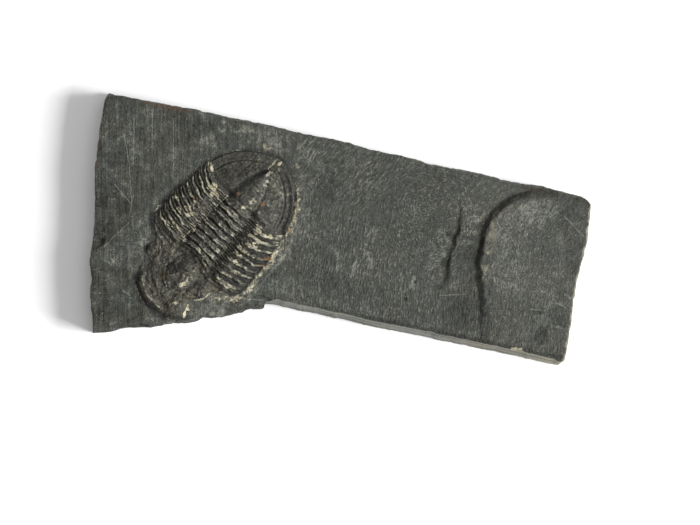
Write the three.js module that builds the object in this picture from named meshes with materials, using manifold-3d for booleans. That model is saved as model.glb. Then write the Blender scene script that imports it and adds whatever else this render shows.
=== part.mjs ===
// A trilobite moult on a piece of dark shale: a slab with stepped bedding faces, and the
// animal's plates lying in a shallow hollow of it. Millimetres, +Z up. The underside is at
// z = 0, +X runs along the slab, and the origin is under the middle of its bounding box.

import * as THREE from "three";
import { mergeVertices } from "three/addons/utils/BufferGeometryUtils.js";
import Module from "manifold-3d";

const wasm = await Module();
wasm.setup();

// Heights above the underside
const BED = 9.0; // the bedding face round the fossil
const TERRACE_LIP = 9.55; // the small terrace, at its upper ledge
const TERRACE_FOOT = 9.2; // the same terrace, where it runs into the block
const BLOCK = 10.3; // the raised end block
const SEAT = 8.4; // floor of the hollow that the plates lie in
const GAP = 0.3; // clearance between neighbouring pieces
const MARGIN = 0.5; // how far the hollow reaches past the plates' outline
const HIGH = 20; // any height well above the slab

// Edges of the slab, anticlockwise, as the foot of the wall runs. lean is how far the foot
// stands out beyond the bedding face.
const EDGES = {
  sawnLower: {
    lean: 1.4,
    points: [
      [-16.7, -19.2], [-11.7, -20.4], [-1.4, -22.6], [8.9, -24.9], [19.5, -27.0],
      [27.8, -28.7], [40.5, -31.4], [53.0, -34.1],
    ],
  },
  right: {
    lean: 0.5,
    points: [
      [54.8, -34.3], [55.5, -33.7], [56.5, -33.0], [57.0, -30.3], [57.8, -26.5],
      [58.6, -20.8], [59.6, -13.7], [61.2, -7.4], [62.3, -2.7], [63.1, 4.8], [63.1, 6.2],
    ],
  },
  upper: {
    lean: 0.3,
    points: [
      [61.8, 7.5], [59.9, 8.4], [56.7, 9.2], [51.4, 10.7], [47.5, 11.3], [42.5, 12.1],
      [33.5, 14.4], [24.5, 16.1], [15.5, 18.4], [6.5, 20.4], [0.5, 22.1], [-8.5, 23.9],
      [-17.5, 26.1], [-26.5, 27.9], [-35.5, 29.9], [-47.5, 32.1], [-55.5, 33.6],
    ],
  },
  left: {
    lean: 0.3,
    points: [
      [-58.2, 34.0], [-59.3, 31.4], [-60.5, 24.1], [-61.6, 14.1], [-61.6, 4.1],
      [-62.2, -3.4], [-63.0, -8.4], [-62.5, -12.4], [-62.8, -15.9], [-62.3, -22.4],
      [-62.0, -25.1],
    ],
  },
  brokenLower: {
    lean: 0.15,
    points: [
      [-61.3, -26.3], [-57.1, -26.0], [-53.7, -25.1], [-47.0, -24.9], [-42.8, -24.1],
      [-38.1, -23.9], [-35.8, -23.3], [-34.1, -22.3], [-31.8, -22.7], [-26.6, -21.6],
      [-24.1, -21.1], [-23.4, -20.5], [-19.3, -20.3], [-18.9, -19.1],
    ],
  },
};

// How far the wall stands back from its foot: a share of the lean, plus a shoulder
const WALL = [
  { z: 0, lean: 0, shoulder: 0.3 },
  { z: 1.1, lean: 0, shoulder: 0 },
  { z: 4.6, lean: 0.35, shoulder: 0.1 },
  { z: 8.2, lean: 1, shoulder: 0 },
  { z: BLOCK, lean: 1, shoulder: 0.9 },
];

// Ledges on the bedding face, as their feet run from the upper edge down
const BLOCK_LEDGE = [
  [57.5, 10.0], [52.0, 9.4], [48.2, 9.0], [45.0, 8.6], [42.6, 7.9], [40.5, 6.4],
  [38.3, 4.2], [36.7, 1.6], [36.1, -0.8], [35.2, -4.2], [34.5, -6.5], [34.5, -9.4],
  [34.8, -16.6], [35.2, -22.6], [35.5, -29.5],
];
const TERRACE_LEDGE = [
  [30.3, 4.2], [29.8, 1.5], [29.1, -1.5], [28.0, -5.0], [27.1, -8.2], [26.4, -11.8],
  [25.2, -14.2], [24.2, -16.4],
];
const TERRACE_BACK = [
  [36.6, -18.0], [37.5, -8.0], [38.0, 0.0], [39.6, 4.8],
]; // the terrace's far side, inside the block
const LEDGE_GROOVE = { width: 1.5, depth: 0.45 };

// Shallow scars where flakes have come off: centre, half lengths, turn in degrees, depth
const SCARS = [
  { at: [-59.6, -4.6], size: [4.6, 2.4], turn: 35, depth: 0.7 },
  { at: [55.6, -23.4], size: [4.2, 2.2], turn: -8, depth: 0.5 },
  { at: [-19.2, -17.6], size: [4.0, 1.6], turn: -20, depth: 0.9 },
  { at: [-37.5, -23.6], size: [3.6, 1.1], turn: 8, depth: 0.8 },
];
const SCAR_BALL = 3; // half height of the ball that cuts a scar

// The animal's own frame: +X to its left side, +Y towards the tail
const BODY = { x: -31.25, y: -1.62, turnDeg: -44.5 };
const AXIS = { at0: -0.3, slope: -0.045 }; // the middle line
const SEGMENTS = 9;
const THORAX = { front: -7.4, back: 9.3 };
const FULCRUM = 8.2; // where the side lobes begin to fall and sweep back
const RIM_HEIGHT = 0.2; // a plate's edge above the bedding face
const FURROW_HEIGHT = 0.85;
const AXIS_HEIGHT = 2.35;
const FULCRUM_HEIGHT = 1.65;
const RING_RELIEF = 0.3;
const PLEURA_RELIEF = 0.18;
const TAIL = { centreX: -0.75, centreY: 12.6, halfWidth: 12.75, length: 12.2, power: 1.65 };
const TAIL_AXIS = { front: 9.4, length: 11.9, halfWidth: 3.9, power: 2.1, endHeight: 1.0 };
const TAIL_BORDER = { width: 2.5, height: 0.4 };
const GLABELLA = { x: 0.3, y: -12.4, halfWidth: 3.7, halfLength: 5.0, height: 1.35 };
const EYES = [
  { x: -8.7, y: -13.5 },
  { x: 8.1, y: -13.0 },
];
const EYE = { halfWidth: 1.5, halfLength: 2.2, height: 0.5 };
const CHEEK_HEIGHT = 0.95;
const HEAD_BORDER = { width: 1.3, height: 0.75 };

// Edges of the head shield from its front middle to its back corners, [y, x]
const HEAD_RIGHT = [
  [-24.3, -1.2], [-23.8, -3.0], [-22.8, -5.0], [-21.5, -6.7], [-20.2, -7.4],
  [-17.6, -7.8], [-15.6, -8.4], [-14.6, -9.8], [-13.4, -10.2], [-12.0, -9.8],
  [-11.2, -10.2], [-9.7, -12.3], [-8.6, -14.0], [-8.0, -14.6],
];
const HEAD_LEFT = [
  [-24.3, 2.6], [-23.6, 5.0], [-22.2, 7.6], [-20.6, 9.3], [-19.8, 9.9], [-18.2, 9.4],
  [-15.8, 7.9], [-14.6, 8.7], [-13.2, 9.5], [-12.0, 9.5], [-11.2, 9.9], [-9.7, 11.8],
  [-8.6, 13.6], [-8.0, 14.3],
];

// The rim of matrix that stands along the animal's left side and round its tail
const MATRIX_RIM = {
  radius: 0.85,
  sink: 0.25,
  points: [
    [14.6, -8.6], [15.9, -5.0], [16.0, 0.0], [15.5, 5.0], [14.9, 9.0], [13.6, 13.0],
    [11.7, 17.6], [8.8, 21.4], [5.4, 24.2],
  ],
};

const SHALE = new THREE.MeshStandardMaterial({ color: 0x585b56, roughness: 0.8, metalness: 0 });
const SHELL = new THREE.MeshStandardMaterial({ color: 0x43423c, roughness: 0.6, metalness: 0 });

const lerp = THREE.MathUtils.lerp;
const clamp01 = (x) => THREE.MathUtils.clamp(x, 0, 1);
const smooth = (x) => THREE.MathUtils.smoothstep(x, 0, 1);

// A closed geometry as a solid for joining and cutting
function solidOf(geometry) {
  const bare = geometry.clone();
  bare.deleteAttribute("normal");
  bare.deleteAttribute("uv");
  const merged = mergeVertices(bare, 1e-4);
  return new wasm.Manifold(
    new wasm.Mesh({
      numProp: 3,
      vertProperties: merged.getAttribute("position").array,
      triVerts: new Uint32Array(merged.index.array),
    }),
  );
}

function geometryOf(solid) {
  const mesh = solid.getMesh();
  const geometry = new THREE.BufferGeometry();
  geometry.setAttribute("position", new THREE.BufferAttribute(mesh.vertProperties, 3));
  geometry.setIndex(new THREE.BufferAttribute(mesh.triVerts, 1));
  geometry.computeVertexNormals();
  return geometry;
}

function geometryFrom(points, triangles) {
  const geometry = new THREE.BufferGeometry().setFromPoints(points);
  geometry.setIndex(triangles.flat());
  geometry.computeVertexNormals();
  return geometry;
}

// Each point of an anticlockwise outline, moved inwards by its own distance
function inset(outline, distances) {
  const count = outline.length;
  return outline.map((point, i) => {
    const before = outline[(i + count - 1) % count];
    const after = outline[(i + 1) % count];
    const along = new THREE.Vector2().subVectors(after, before).normalize();
    return new THREE.Vector2(
      point.x - along.y * distances[i],
      point.y + along.x * distances[i],
    );
  });
}

// A closed skin through rings of equally many points, each ring higher than the last
function loft(rings) {
  const count = rings[0].length;
  const points = rings.flat();
  const triangles = [];
  for (let level = 0; level + 1 < rings.length; level++) {
    for (let i = 0; i < count; i++) {
      const a = level * count + i;
      const b = level * count + ((i + 1) % count);
      triangles.push([a, b, b + count], [a, b + count, a + count]);
    }
  }
  const flat = (ring) => ring.map((p) => new THREE.Vector2(p.x, p.y));
  const top = (rings.length - 1) * count;
  for (const [a, b, c] of THREE.ShapeUtils.triangulateShape(flat(rings[0]), [])) {
    triangles.push([a, c, b]);
  }
  for (const [a, b, c] of THREE.ShapeUtils.triangulateShape(flat(rings.at(-1)), [])) {
    triangles.push([top + a, top + b, top + c]);
  }
  return geometryFrom(points, triangles);
}

const prism = (outline, low, high) =>
  loft([low, high].map((z) => outline.map((p) => new THREE.Vector3(p.x, p.y, z))));

const vectors = (pairs) => pairs.map(([x, y]) => new THREE.Vector2(x, y));

// The slab's rough block, with its leaning walls, up to the height of the end block
function roughBlock() {
  const edges = Object.values(EDGES);
  const foot = vectors(edges.flatMap((edge) => edge.points));
  const leans = edges.flatMap((edge) => edge.points.map(() => edge.lean));
  return loft(
    WALL.map((level) =>
      inset(foot, leans.map((lean) => lean * level.lean + level.shoulder)).map(
        (p) => new THREE.Vector3(p.x, p.y, level.z),
      ),
    ),
  );
}

// Everything on the fossil's side of the block ledge, above the bedding face
function bedCutter() {
  const corners = vectors([[57.5, 40], [-80, 40], [-80, -50], [35.5, -50]]);
  return prism([...vectors(BLOCK_LEDGE).reverse(), ...corners], BED, HIGH);
}

// The terrace between the two ledges. Its lip stands up in the middle of its length, and
// its face falls gently towards the block.
function terrace() {
  const lip = new THREE.SplineCurve(vectors(TERRACE_LEDGE).reverse());
  const inBlock = new THREE.SplineCurve(vectors(TERRACE_BACK));
  const rows = steps(12).map((t) =>
    steps(4).map((across) => {
      const p = lip.getPoint(t).lerp(inBlock.getPoint(t), across);
      const face = lerp(TERRACE_LIP, TERRACE_FOOT, across) - BED;
      return new THREE.Vector3(p.x, p.y, BED + 0.02 + face * Math.sin(Math.PI * t) ** 0.7);
    }),
  );
  return plate(rows);
}

// A V-shaped groove at the foot of a ledge
function groove(points, z) {
  const path = new THREE.CatmullRomCurve3(points.map(([x, y]) => new THREE.Vector3(x, y, z)));
  const { width, depth } = LEDGE_GROOVE;
  const section = new THREE.Shape(
    vectors([[-depth, 0], [depth, width / 2], [depth, -width / 2]]),
  );
  const options = { steps: 2 * points.length, bevelEnabled: false, extrudePath: path };
  return new THREE.ExtrudeGeometry(section, options);
}

function scar({ at, size, turn, depth }) {
  const ball = new THREE.SphereGeometry(1, 20, 12);
  ball.scale(size[0], size[1], SCAR_BALL);
  ball.rotateZ(THREE.MathUtils.degToRad(turn));
  const top = at[0] > BLOCK_LEDGE[5][0] ? BLOCK : BED;
  return ball.translate(at[0], at[1], top + SCAR_BALL - depth);
}

// The ridge of matrix, a low tube that is half sunk in the bedding face
function matrixRim(placed) {
  const { radius, sink, points } = MATRIX_RIM;
  const path = new THREE.CatmullRomCurve3(
    points.map(([x, y]) => new THREE.Vector3(x, y, BED - sink)),
  );
  const section = new THREE.Shape();
  section.absarc(0, 0, radius, 0, 2 * Math.PI);
  const options = { steps: 26, curveSegments: 8, bevelEnabled: false, extrudePath: path };
  return new THREE.ExtrudeGeometry(section, options).applyMatrix4(placed);
}

const axisX = (y) => AXIS.at0 + AXIS.slope * y;
const axisHalfWidth = (y) => 4.6 - 0.085 * y;
const bodyHalfWidth = (y) => 15.0 - 0.012 * (y + 2) ** 2;

// 0 at the fulcrum and 1 at the tips
const outerShare = (x, y) =>
  clamp01((Math.abs(x - axisX(y)) - FULCRUM) / (bodyHalfWidth(y) - FULCRUM));

// Where the joint before segment k lies: its ends sweep back, more so towards the tail,
// and the back of the head pushes the first ones back in the middle
function jointY(k, x) {
  const y = lerp(THORAX.front, THORAX.back, k / SEGMENTS);
  const sweep = 1.3 + (1.8 * k) / SEGMENTS;
  const push = 1.1 / (1 + k * k);
  const middle = clamp01(1 - ((x - axisX(y)) / 5.4) ** 2);
  return y + sweep * outerShare(x, y) ** 1.5 + push * middle;
}

// Height of the smooth body above the bedding face, from the axis to the tips
function thoraxHeight(x, y) {
  const across = Math.abs(x - axisX(y));
  const half = axisHalfWidth(y);
  if (across < half) {
    return lerp(FURROW_HEIGHT, AXIS_HEIGHT, Math.sqrt(1 - (across / half) ** 2));
  }
  if (across < FULCRUM) {
    return lerp(FURROW_HEIGHT, FULCRUM_HEIGHT, smooth((across - half) / (FULCRUM - half)));
  }
  return lerp(FULCRUM_HEIGHT, RIM_HEIGHT, outerShare(x, y) ** 1.5);
}

// A closed plate under a grid of top points, whose rows run towards +X
function plate(rows) {
  const last = rows.length - 1;
  const width = rows[0].length;
  const index = (row, column) => row * width + column;
  const triangles = [];
  for (let r = 0; r < last; r++) {
    for (let c = 0; c + 1 < width; c++) {
      triangles.push([index(r, c), index(r, c + 1), index(r + 1, c + 1)]);
      triangles.push([index(r, c), index(r + 1, c + 1), index(r + 1, c)]);
    }
  }
  const rim = [];
  for (let c = 0; c < width - 1; c++) rim.push(index(0, c));
  for (let r = 0; r < last; r++) rim.push(index(r, width - 1));
  for (let c = width - 1; c > 0; c--) rim.push(index(last, c));
  for (let r = last; r > 0; r--) rim.push(index(r, 0));
  const top = rows.flat();
  const floor = rim.map((i) => new THREE.Vector3(top[i].x, top[i].y, SEAT + GAP));
  rim.forEach((i, k) => {
    const next = (k + 1) % rim.length;
    triangles.push([i, top.length + k, top.length + next], [i, top.length + next, rim[next]]);
  });
  const flat = floor.map((p) => new THREE.Vector2(p.x, p.y));
  for (const [a, b, c] of THREE.ShapeUtils.triangulateShape(flat, [])) {
    triangles.push([top.length + a, top.length + c, top.length + b]);
  }
  return geometryFrom([...top, ...floor], triangles);
}

const steps = (count) => Array.from({ length: count + 1 }, (_, i) => i / count);

// One segment of the thorax: an axial ring between two side bands, each with a furrow
function thoraxSegment(k) {
  const lines = [0, 0.18, 0.45, 0.75, 1];
  const ringShape = [-1, -0.6, 0.7, 1, -0.2];
  const bandShape = [0.1, 1, -0.9, 0.8, -0.3];
  const middle = lerp(THORAX.front, THORAX.back, (k + 0.5) / SEGMENTS);
  const half = bodyHalfWidth(middle);
  const tipTaper = 0.62;
  return lines.map((t, line) =>
    steps(24).map((share) => {
      const s = 2 * share - 1;
      const tip = clamp01((Math.abs(s) - 0.8) / 0.2);
      const x = axisX(middle) + s * (half - 0.25 * Math.abs(2 * t - 1) * tip);
      const front = jointY(k, x) + GAP / 2;
      const back = jointY(k + 1, x) - GAP / 2;
      const y = lerp(front, back, lerp(t, lerp(tipTaper, 1, t), tip * tip));
      const onAxis = Math.abs(x - axisX(y)) < axisHalfWidth(y) - 0.2;
      const fade = 1 - 0.7 * tip;
      const relief = onAxis ? RING_RELIEF * ringShape[line] : PLEURA_RELIEF * bandShape[line];
      return new THREE.Vector3(x, y, BED + thoraxHeight(x, middle) + relief * fade);
    }),
  );
}

// Edge of the tail shield behind a point across it, s from -1 to 1
const tailEdgeY = (s) =>
  TAIL.centreY + TAIL.length * (1 - Math.abs(s) ** TAIL.power) ** (1 / TAIL.power);

function tailHeight(x, y, toEdge) {
  const along = clamp01((y - TAIL_AXIS.front) / TAIL_AXIS.length);
  const half = TAIL_AXIS.halfWidth * (1 - along ** TAIL_AXIS.power);
  const across = Math.abs(x - axisX(y));
  const field = toEdge < TAIL_BORDER.width
    ? lerp(RIM_HEIGHT, TAIL_BORDER.height, toEdge / TAIL_BORDER.width)
    : lerp(TAIL_BORDER.height, 1.25, smooth((toEdge - TAIL_BORDER.width) / 6));
  if (across >= half) return field;
  const crest = lerp(AXIS_HEIGHT, TAIL_AXIS.endHeight, along ** 2);
  return Math.max(field, lerp(field, crest, Math.sqrt(1 - (across / half) ** 2)));
}

// The tail shield: a broad half-round plate with a tapering axis and a flat border
function tailShield() {
  return steps(11).map((t) =>
    steps(26).map((share) => {
      const s = 0.985 * (2 * share - 1);
      const x = TAIL.centreX + s * TAIL.halfWidth;
      const front = jointY(SEGMENTS, x) + GAP / 2;
      const y = lerp(front, tailEdgeY(s), t ** 0.85);
      const fromMiddle = new THREE.Vector2(
        (x - TAIL.centreX) / TAIL.halfWidth,
        (y - TAIL.centreY) / TAIL.length,
      );
      const out = Math.abs(fromMiddle.x) ** TAIL.power + clamp01(fromMiddle.y) ** TAIL.power;
      const toEdge = (1 - out ** (1 / TAIL.power)) * TAIL.length;
      return new THREE.Vector3(x, y, BED + tailHeight(x, y, Math.max(0, toEdge)));
    }),
  );
}

// Reads a side outline of [y, x] pairs at y
function edgeX(edge, y) {
  const after = edge.findIndex(([edgeY]) => edgeY >= y);
  if (after <= 0) return after < 0 ? edge.at(-1)[1] : edge[0][1];
  const [[y0, x0], [y1, x1]] = [edge[after - 1], edge[after]];
  return lerp(x0, x1, (y - y0) / (y1 - y0));
}

const dome = (x, y, { x: cx, y: cy }, { halfWidth, halfLength }) =>
  Math.sqrt(clamp01(1 - ((x - cx) / halfWidth) ** 2 - ((y - cy) / halfLength) ** 2));

// Height of the head shield, from how far its nearest edge is
function headHeight(x, y, right, left) {
  const toSide = Math.min(x - right, left - x);
  const toFront = y + 24.4 - 0.045 * (x - 1) ** 2;
  const cheek = lerp(RIM_HEIGHT + 0.1, CHEEK_HEIGHT, smooth(Math.min(toSide, toFront) / 3));
  const border = HEAD_BORDER.height * smooth(1 - Math.abs(toFront - 0.9) / HEAD_BORDER.width);
  const eyes = EYES.map((at) => EYE.height * dome(x, y, at, EYE));
  const taper = 1 - 0.03 * (GLABELLA.y - y);
  const lobe = GLABELLA.height * dome(x / taper, y, GLABELLA, GLABELLA);
  const ring = 0.5 * smooth(1 - Math.abs(x) / 5.2) * smooth((y + 8.3) / 0.8);
  return Math.max(cheek, border) + lobe + ring + Math.max(...eyes);
}

// The head shield without its free cheeks: glabella, eye lobes, border and back limbs
function headShield() {
  const frontY = HEAD_LEFT[0][0];
  const backY = THORAX.front - 0.6;
  return steps(17).map((t) =>
    steps(22).map((share) => {
      const level = lerp(frontY, backY, t);
      const right = edgeX(HEAD_RIGHT, level);
      const left = edgeX(HEAD_LEFT, level);
      const x = lerp(right, left, share);
      const fit = smooth((t - 0.72) / 0.28);
      const y = level + fit * (jointY(0, x) - GAP / 2 - backY);
      return new THREE.Vector3(x, y, BED + headHeight(x, y, right, left));
    }),
  );
}

// The hollow that the plates lie in, a little wider than they are
function hollow(placed, headRows, segmentRows, tailRows) {
  const sides = [0, -1].map((end) => [
    ...headRows.map((row) => row.at(end)),
    ...segmentRows.flatMap((rows) => [rows[1].at(end), rows.at(-1).at(end)]),
    tailRows[0].at(end),
  ]);
  const ring = [...sides[0], ...tailRows.at(-1), ...sides[1].reverse()].reverse();
  const outline = ring.map((p) => new THREE.Vector2(p.x, p.y));
  const wider = inset(outline, outline.map(() => -MARGIN));
  return prism(wider, SEAT, HIGH).applyMatrix4(placed);
}

function slab(placed, headRows, segmentRows, tailRows) {
  let body = solidOf(roughBlock()).subtract(solidOf(bedCutter()));
  body = body.add(solidOf(terrace()));
  body = body.add(solidOf(matrixRim(placed)));
  body = body.subtract(solidOf(groove(BLOCK_LEDGE, TERRACE_FOOT)));
  body = body.subtract(solidOf(groove(TERRACE_LEDGE, BED)));
  for (const mark of SCARS) body = body.subtract(solidOf(scar(mark)));
  body = body.subtract(solidOf(hollow(placed, headRows, segmentRows, tailRows)));
  return geometryOf(body);
}

function named(name, geometry, material) {
  const mesh = new THREE.Mesh(geometry, material);
  mesh.name = name;
  return mesh;
}

const animal = new THREE.Group();
animal.position.set(BODY.x, BODY.y, 0);
animal.rotation.z = THREE.MathUtils.degToRad(BODY.turnDeg);
animal.updateMatrix();

const headRows = headShield();
const segmentRows = Array.from({ length: SEGMENTS }, (_, k) => thoraxSegment(k));
const tailRows = tailShield();
animal.add(named("head_shield", plate(headRows), SHELL));
segmentRows.forEach((rows, k) => {
  animal.add(named(`thorax_segment_${k + 1}`, plate(rows), SHELL));
});
animal.add(named("tail_shield", plate(tailRows), SHELL));

const fossil = new THREE.Group();
fossil.add(named("slab", slab(animal.matrix, headRows, segmentRows, tailRows), SHALE));
fossil.add(animal);

export default fossil;
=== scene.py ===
"""The look of a trilobite moult on a slab of dark shale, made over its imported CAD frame.

Shapes are worked out in millimetres in the frame's axes and become metres in the meshes.
"""

import math

import bpy
import numpy as np
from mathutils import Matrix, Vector, geometry


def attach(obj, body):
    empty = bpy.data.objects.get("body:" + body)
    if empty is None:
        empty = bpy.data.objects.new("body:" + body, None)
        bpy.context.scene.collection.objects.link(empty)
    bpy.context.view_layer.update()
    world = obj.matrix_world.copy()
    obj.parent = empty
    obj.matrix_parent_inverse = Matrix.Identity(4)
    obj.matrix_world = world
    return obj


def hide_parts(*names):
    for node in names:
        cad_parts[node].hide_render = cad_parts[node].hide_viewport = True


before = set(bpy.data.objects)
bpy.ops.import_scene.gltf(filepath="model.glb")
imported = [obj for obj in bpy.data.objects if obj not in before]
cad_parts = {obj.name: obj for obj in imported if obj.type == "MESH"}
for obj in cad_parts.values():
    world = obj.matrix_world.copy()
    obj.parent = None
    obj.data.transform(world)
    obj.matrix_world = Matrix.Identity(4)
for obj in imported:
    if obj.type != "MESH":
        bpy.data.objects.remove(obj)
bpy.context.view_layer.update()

MM = 0.001

# Heights above the underside
BED = 9.0
BLOCK = 10.3
PLATE_FOOT = 8.7
TOP_LIMIT = 11.6

# The view: straight down on the slab
VIEW_CENTRE = (2.5, -8.5)
VIEW_WIDTH = 175.0
VIEW_LEVEL = 6.0
CAMERA_HEIGHT = 1300.0
SENSOR_WIDTH = 36.0

# The studio, in metres: each light's place, size and power
LIGHTS = {"Key": ((0.78, -0.16, 0.50), 0.50, 21.0), "Top": ((0.1, 0.3, 1.2), 0.9, 3.4)}
WORLD_STRENGTH = 0.38
FLOOR_HALF = 1.5

# The foot of the slab's wall along its four sides
BROKEN_LOWER = [
    (-62.0, -26.3), (-57.1, -26.0), (-53.7, -25.1), (-47.0, -24.9), (-42.8, -24.1),
    (-38.1, -23.9), (-35.8, -23.3), (-34.1, -22.3), (-31.8, -22.7), (-26.6, -21.6),
    (-24.1, -21.1), (-23.4, -20.5), (-19.3, -20.3), (-18.9, -19.1),
]
SAWN_LOWER = [
    (-16.7, -19.2), (-11.7, -20.4), (-1.4, -22.6), (8.9, -24.9), (19.5, -27.0),
    (27.8, -28.7), (40.5, -31.4), (53.0, -34.1), (54.8, -34.3),
]
RIGHT_SIDE = [
    (54.8, -34.3), (55.7, -33.6), (56.5, -33.0), (57.0, -30.3), (57.8, -26.5),
    (58.6, -20.8), (59.6, -13.7), (61.2, -7.4), (62.3, -2.7), (63.0, 4.8), (63.0, 6.2),
]
UPPER_SIDE = [
    (63.0, 6.2), (61.8, 7.5), (59.9, 8.4), (56.7, 9.2), (51.4, 10.7), (47.5, 11.3),
    (42.5, 12.1), (33.5, 14.4), (24.5, 16.1), (15.5, 18.4), (6.5, 20.4), (0.5, 22.1),
    (-8.5, 23.9), (-17.5, 26.1), (-26.5, 27.9), (-35.5, 29.9), (-47.5, 32.1),
    (-55.5, 33.6), (-57.9, 34.0),
]
LEFT_SIDE = [
    (-57.9, 34.0), (-59.3, 31.4), (-60.5, 24.1), (-61.6, 14.1), (-61.6, 4.1),
    (-62.2, -3.4), (-62.9, -8.4), (-62.5, -12.4), (-62.8, -15.9), (-62.3, -22.4),
    (-62.0, -26.3),
]

# How far each kind of wall leans in, what share of that it has at each height, the stretch
# of the lower side over which the sawn wall begins, and how finely the slab is divided
SAWN_LEAN = 1.4
RIGHT_LEAN = 0.5
SPLIT_LEAN = 0.3
BROKEN_LEAN = 0.15
WALL_HEIGHTS = [0, 1.1, 4.6, 8.2, 11]
WALL_SHARES = [0, 0, 0.35, 1, 1.05]
SAWN_FROM = (-18.6, -16.4)
LONG_CELLS = 330
SHORT_CELLS = 160
WALL_CELLS = 24
UNDER_STEP = 1.6

# Ledges of the bedding face, from the upper edge down
BLOCK_LEDGE = [
    (57.5, 10.0), (52.0, 9.6), (48.2, 9.2), (45.0, 8.8), (42.6, 8.0), (40.5, 6.4),
    (38.3, 4.2), (36.7, 1.6), (36.1, -0.8), (35.2, -4.2), (34.5, -6.5), (34.5, -9.4),
    (34.8, -16.6), (35.2, -22.6), (35.5, -31.5),
]
TERRACE_LEDGE = [
    (29.6, 7.2), (30.3, 4.2), (29.8, 1.5), (29.1, -1.5), (28.0, -5.0), (27.1, -8.2),
    (26.4, -11.8), (25.2, -14.2), (24.2, -16.4), (22.8, -19.0),
]

# How wide the block's ledge is at shares of its length, and how deep the terrace's ledge is
BLOCK_LEDGE_SHARES = [0, 0.12, 0.3, 0.45, 0.6, 0.75, 1]
BLOCK_LEDGE_WIDTHS = [4.5, 3.0, 1.7, 0.7, 1.0, 1.8, 2.8]
TERRACE_DEPTH = 0.42

# Thin layers missing from the bedding face: outline, depth, softness of the edge and darkness, which
# is painted shade in the hollow that each leaves
LOST_LAYERS = [
    ([(-62.5, -4.0), (-58.4, -4.2), (-55.0, -1.0), (-52.4, 1.0), (-53.2, 6.0), (-56.6, 9.0),
      (-62.5, 8.0)], 0.16, 0.35, 0.25),
    ([(56.6, 9.8), (54.6, 5.0), (53.0, 1.6), (55.4, -3.0), (55.0, -9.0), (57.6, -14.0),
      (64.0, -14.0), (65.0, 9.0)], 0.14, 1.4, 0.3),
    ([(47.0, -20.4), (51.4, -20.3), (54.4, -18.8), (58.6, -20.9), (59.5, -26.0),
      (54.0, -24.4), (51.0, -22.0)], 0.45, 0.35, 0.45),
    ([(49.4, -24.0), (52.0, -23.8), (51.4, -28.4), (49.0, -30.6), (47.6, -27.4)], 0.22, 0.9, 0.6),
    ([(40.0, 12.5), (44.0, 9.9), (49.6, 9.4), (53.0, 9.0), (52.6, 12.5)], 0.35, 0.7, 0.45),
    ([(-62.0, -12.4), (-58.8, -13.2), (-57.4, -17.8), (-60.0, -21.6), (-63.0, -21.0)],
     0.1, 0.5, 0.2),
]

# Hollows of lost flakes: place, half lengths, turn in degrees and depth, then place and size
SCARS = [
    ((-60.4, -3.6), 2.2, 1.2, 35, 0.5), ((-19.6, -18.2), 3.4, 1.3, -14, 0.6),
    ((-37.5, -23.4), 4.0, 1.0, 8, 0.6), ((-52.0, -24.8), 5.0, 1.0, 4, 0.5),
]
SMALL_SCARS = [((-56.7, -8.1), 0.6), ((-53.7, -7.4), 0.5), ((-52.5, -16.1), 0.7)]

# Arcs left by a brush, round pits, which are painted dark as shade, and low bumps with a pale ring
BRUSHED_ARCS = [
    [(-3.2, -3.8), (-0.9, -6.2), (-0.4, -8.4), (-1.4, -11.9)],
    [(2.5, -3.8), (3.8, -6.2), (3.9, -8.4), (2.9, -11.9)],
    [(5.2, -4.6), (7.2, -7.0), (8.2, -10.4)], [(-14.0, -2.6), (-12.6, -5.6), (-12.4, -9.0)],
]
PITS = [((26.8, -1.4), 0.55), ((16.4, -17.6), 0.5), ((18.5, -13.4), 0.4), ((4.4, -1.6), 0.3)]
PALE_RINGS = [
    ((-29.4, 25.5), 1.1, 1.4), ((-26.0, 25.1), 1.4, 1.2), ((-21.7, 23.5), 1.0, 1.1),
    ((32.3, -1.1), 1.9, 0.6), ((31.6, -3.4), 1.6, 0.5), ((33.6, 2.4), 2.0, 0.7),
]

# Darker and paler patches: strength, place, half lengths and turn in degrees. The darkest patch, in
# the scar at the left end, and the two beside the block's ledge are painted shade
DARK_PATCHES = [
    (0.8, -59.6, -3.2, 1.4, 1.0, -40), (0.45, 31.0, -20.5, 6.5, 5.5, -10),
    (0.3, 32.2, -8.0, 3.4, 8.0, -4), (0.4, -2.5, 11.6, 3.2, 6.5, -24),
    (0.3, -0.5, -14.0, 14.0, 3.0, -14),
]
PALE_PATCHES = [
    (0.5, 24.2, -5.0, 2.6, 6.0, -12), (0.4, -8.6, 3.0, 2.6, 9.0, 0),
    (0.4, -9.0, 19.0, 4.0, 3.0, -20), (0.45, 43.5, -4.0, 8.0, 15.0, 5),
    (0.8, 49.0, 4.0, 6.0, 4.5, 20), (0.5, 50.5, -16.0, 4.0, 4.0, 0),
    (0.4, -17.5, 22.0, 9.0, 3.5, -15), (1.0, -33.6, 27.4, 0.9, 1.26, 10),
    (1.0, -32.0, 23.2, 1.0, 1.4, 10), (1.0, 14.8, -1.9, 0.5, 0.7, 10),
    (1.0, 3.0, -11.6, 0.6, 0.96, -20), (1.0, 18.0, -13.8, 0.7, 1.12, -20),
    (1.0, -56.5, -8.1, 0.6, 0.96, -20),
]

# The animal's own frame: +X to its left side, +Y towards the tail
BODY_PLACE = (-31.25, -1.62)
BODY_TURN = math.radians(-44.5)
SEGMENTS = 9
THORAX_FRONT = -7.4
THORAX_BACK = 9.3

# The middle line and its bulge, the body's width, and where its side lobes begin to fall
AXIS_START = -0.3
AXIS_DRIFT = 0.045
AXIS_HALF_WIDTH = 4.6
AXIS_NARROWING = 0.085
BODY_HALF_WIDTH = 15.0
BODY_NARROWING = 0.012
FULCRUM = 8.2

# Points across, along and up the block that each segment is made of
SEGMENT_POINTS = (230, 20, 2)

# How far the joints sweep back at the tips and bow in the middle
SWEEP = 1.3
SWEEP_GAIN = 1.8
BOW = 1.1
BOW_HALF_WIDTH = 5.4

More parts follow.
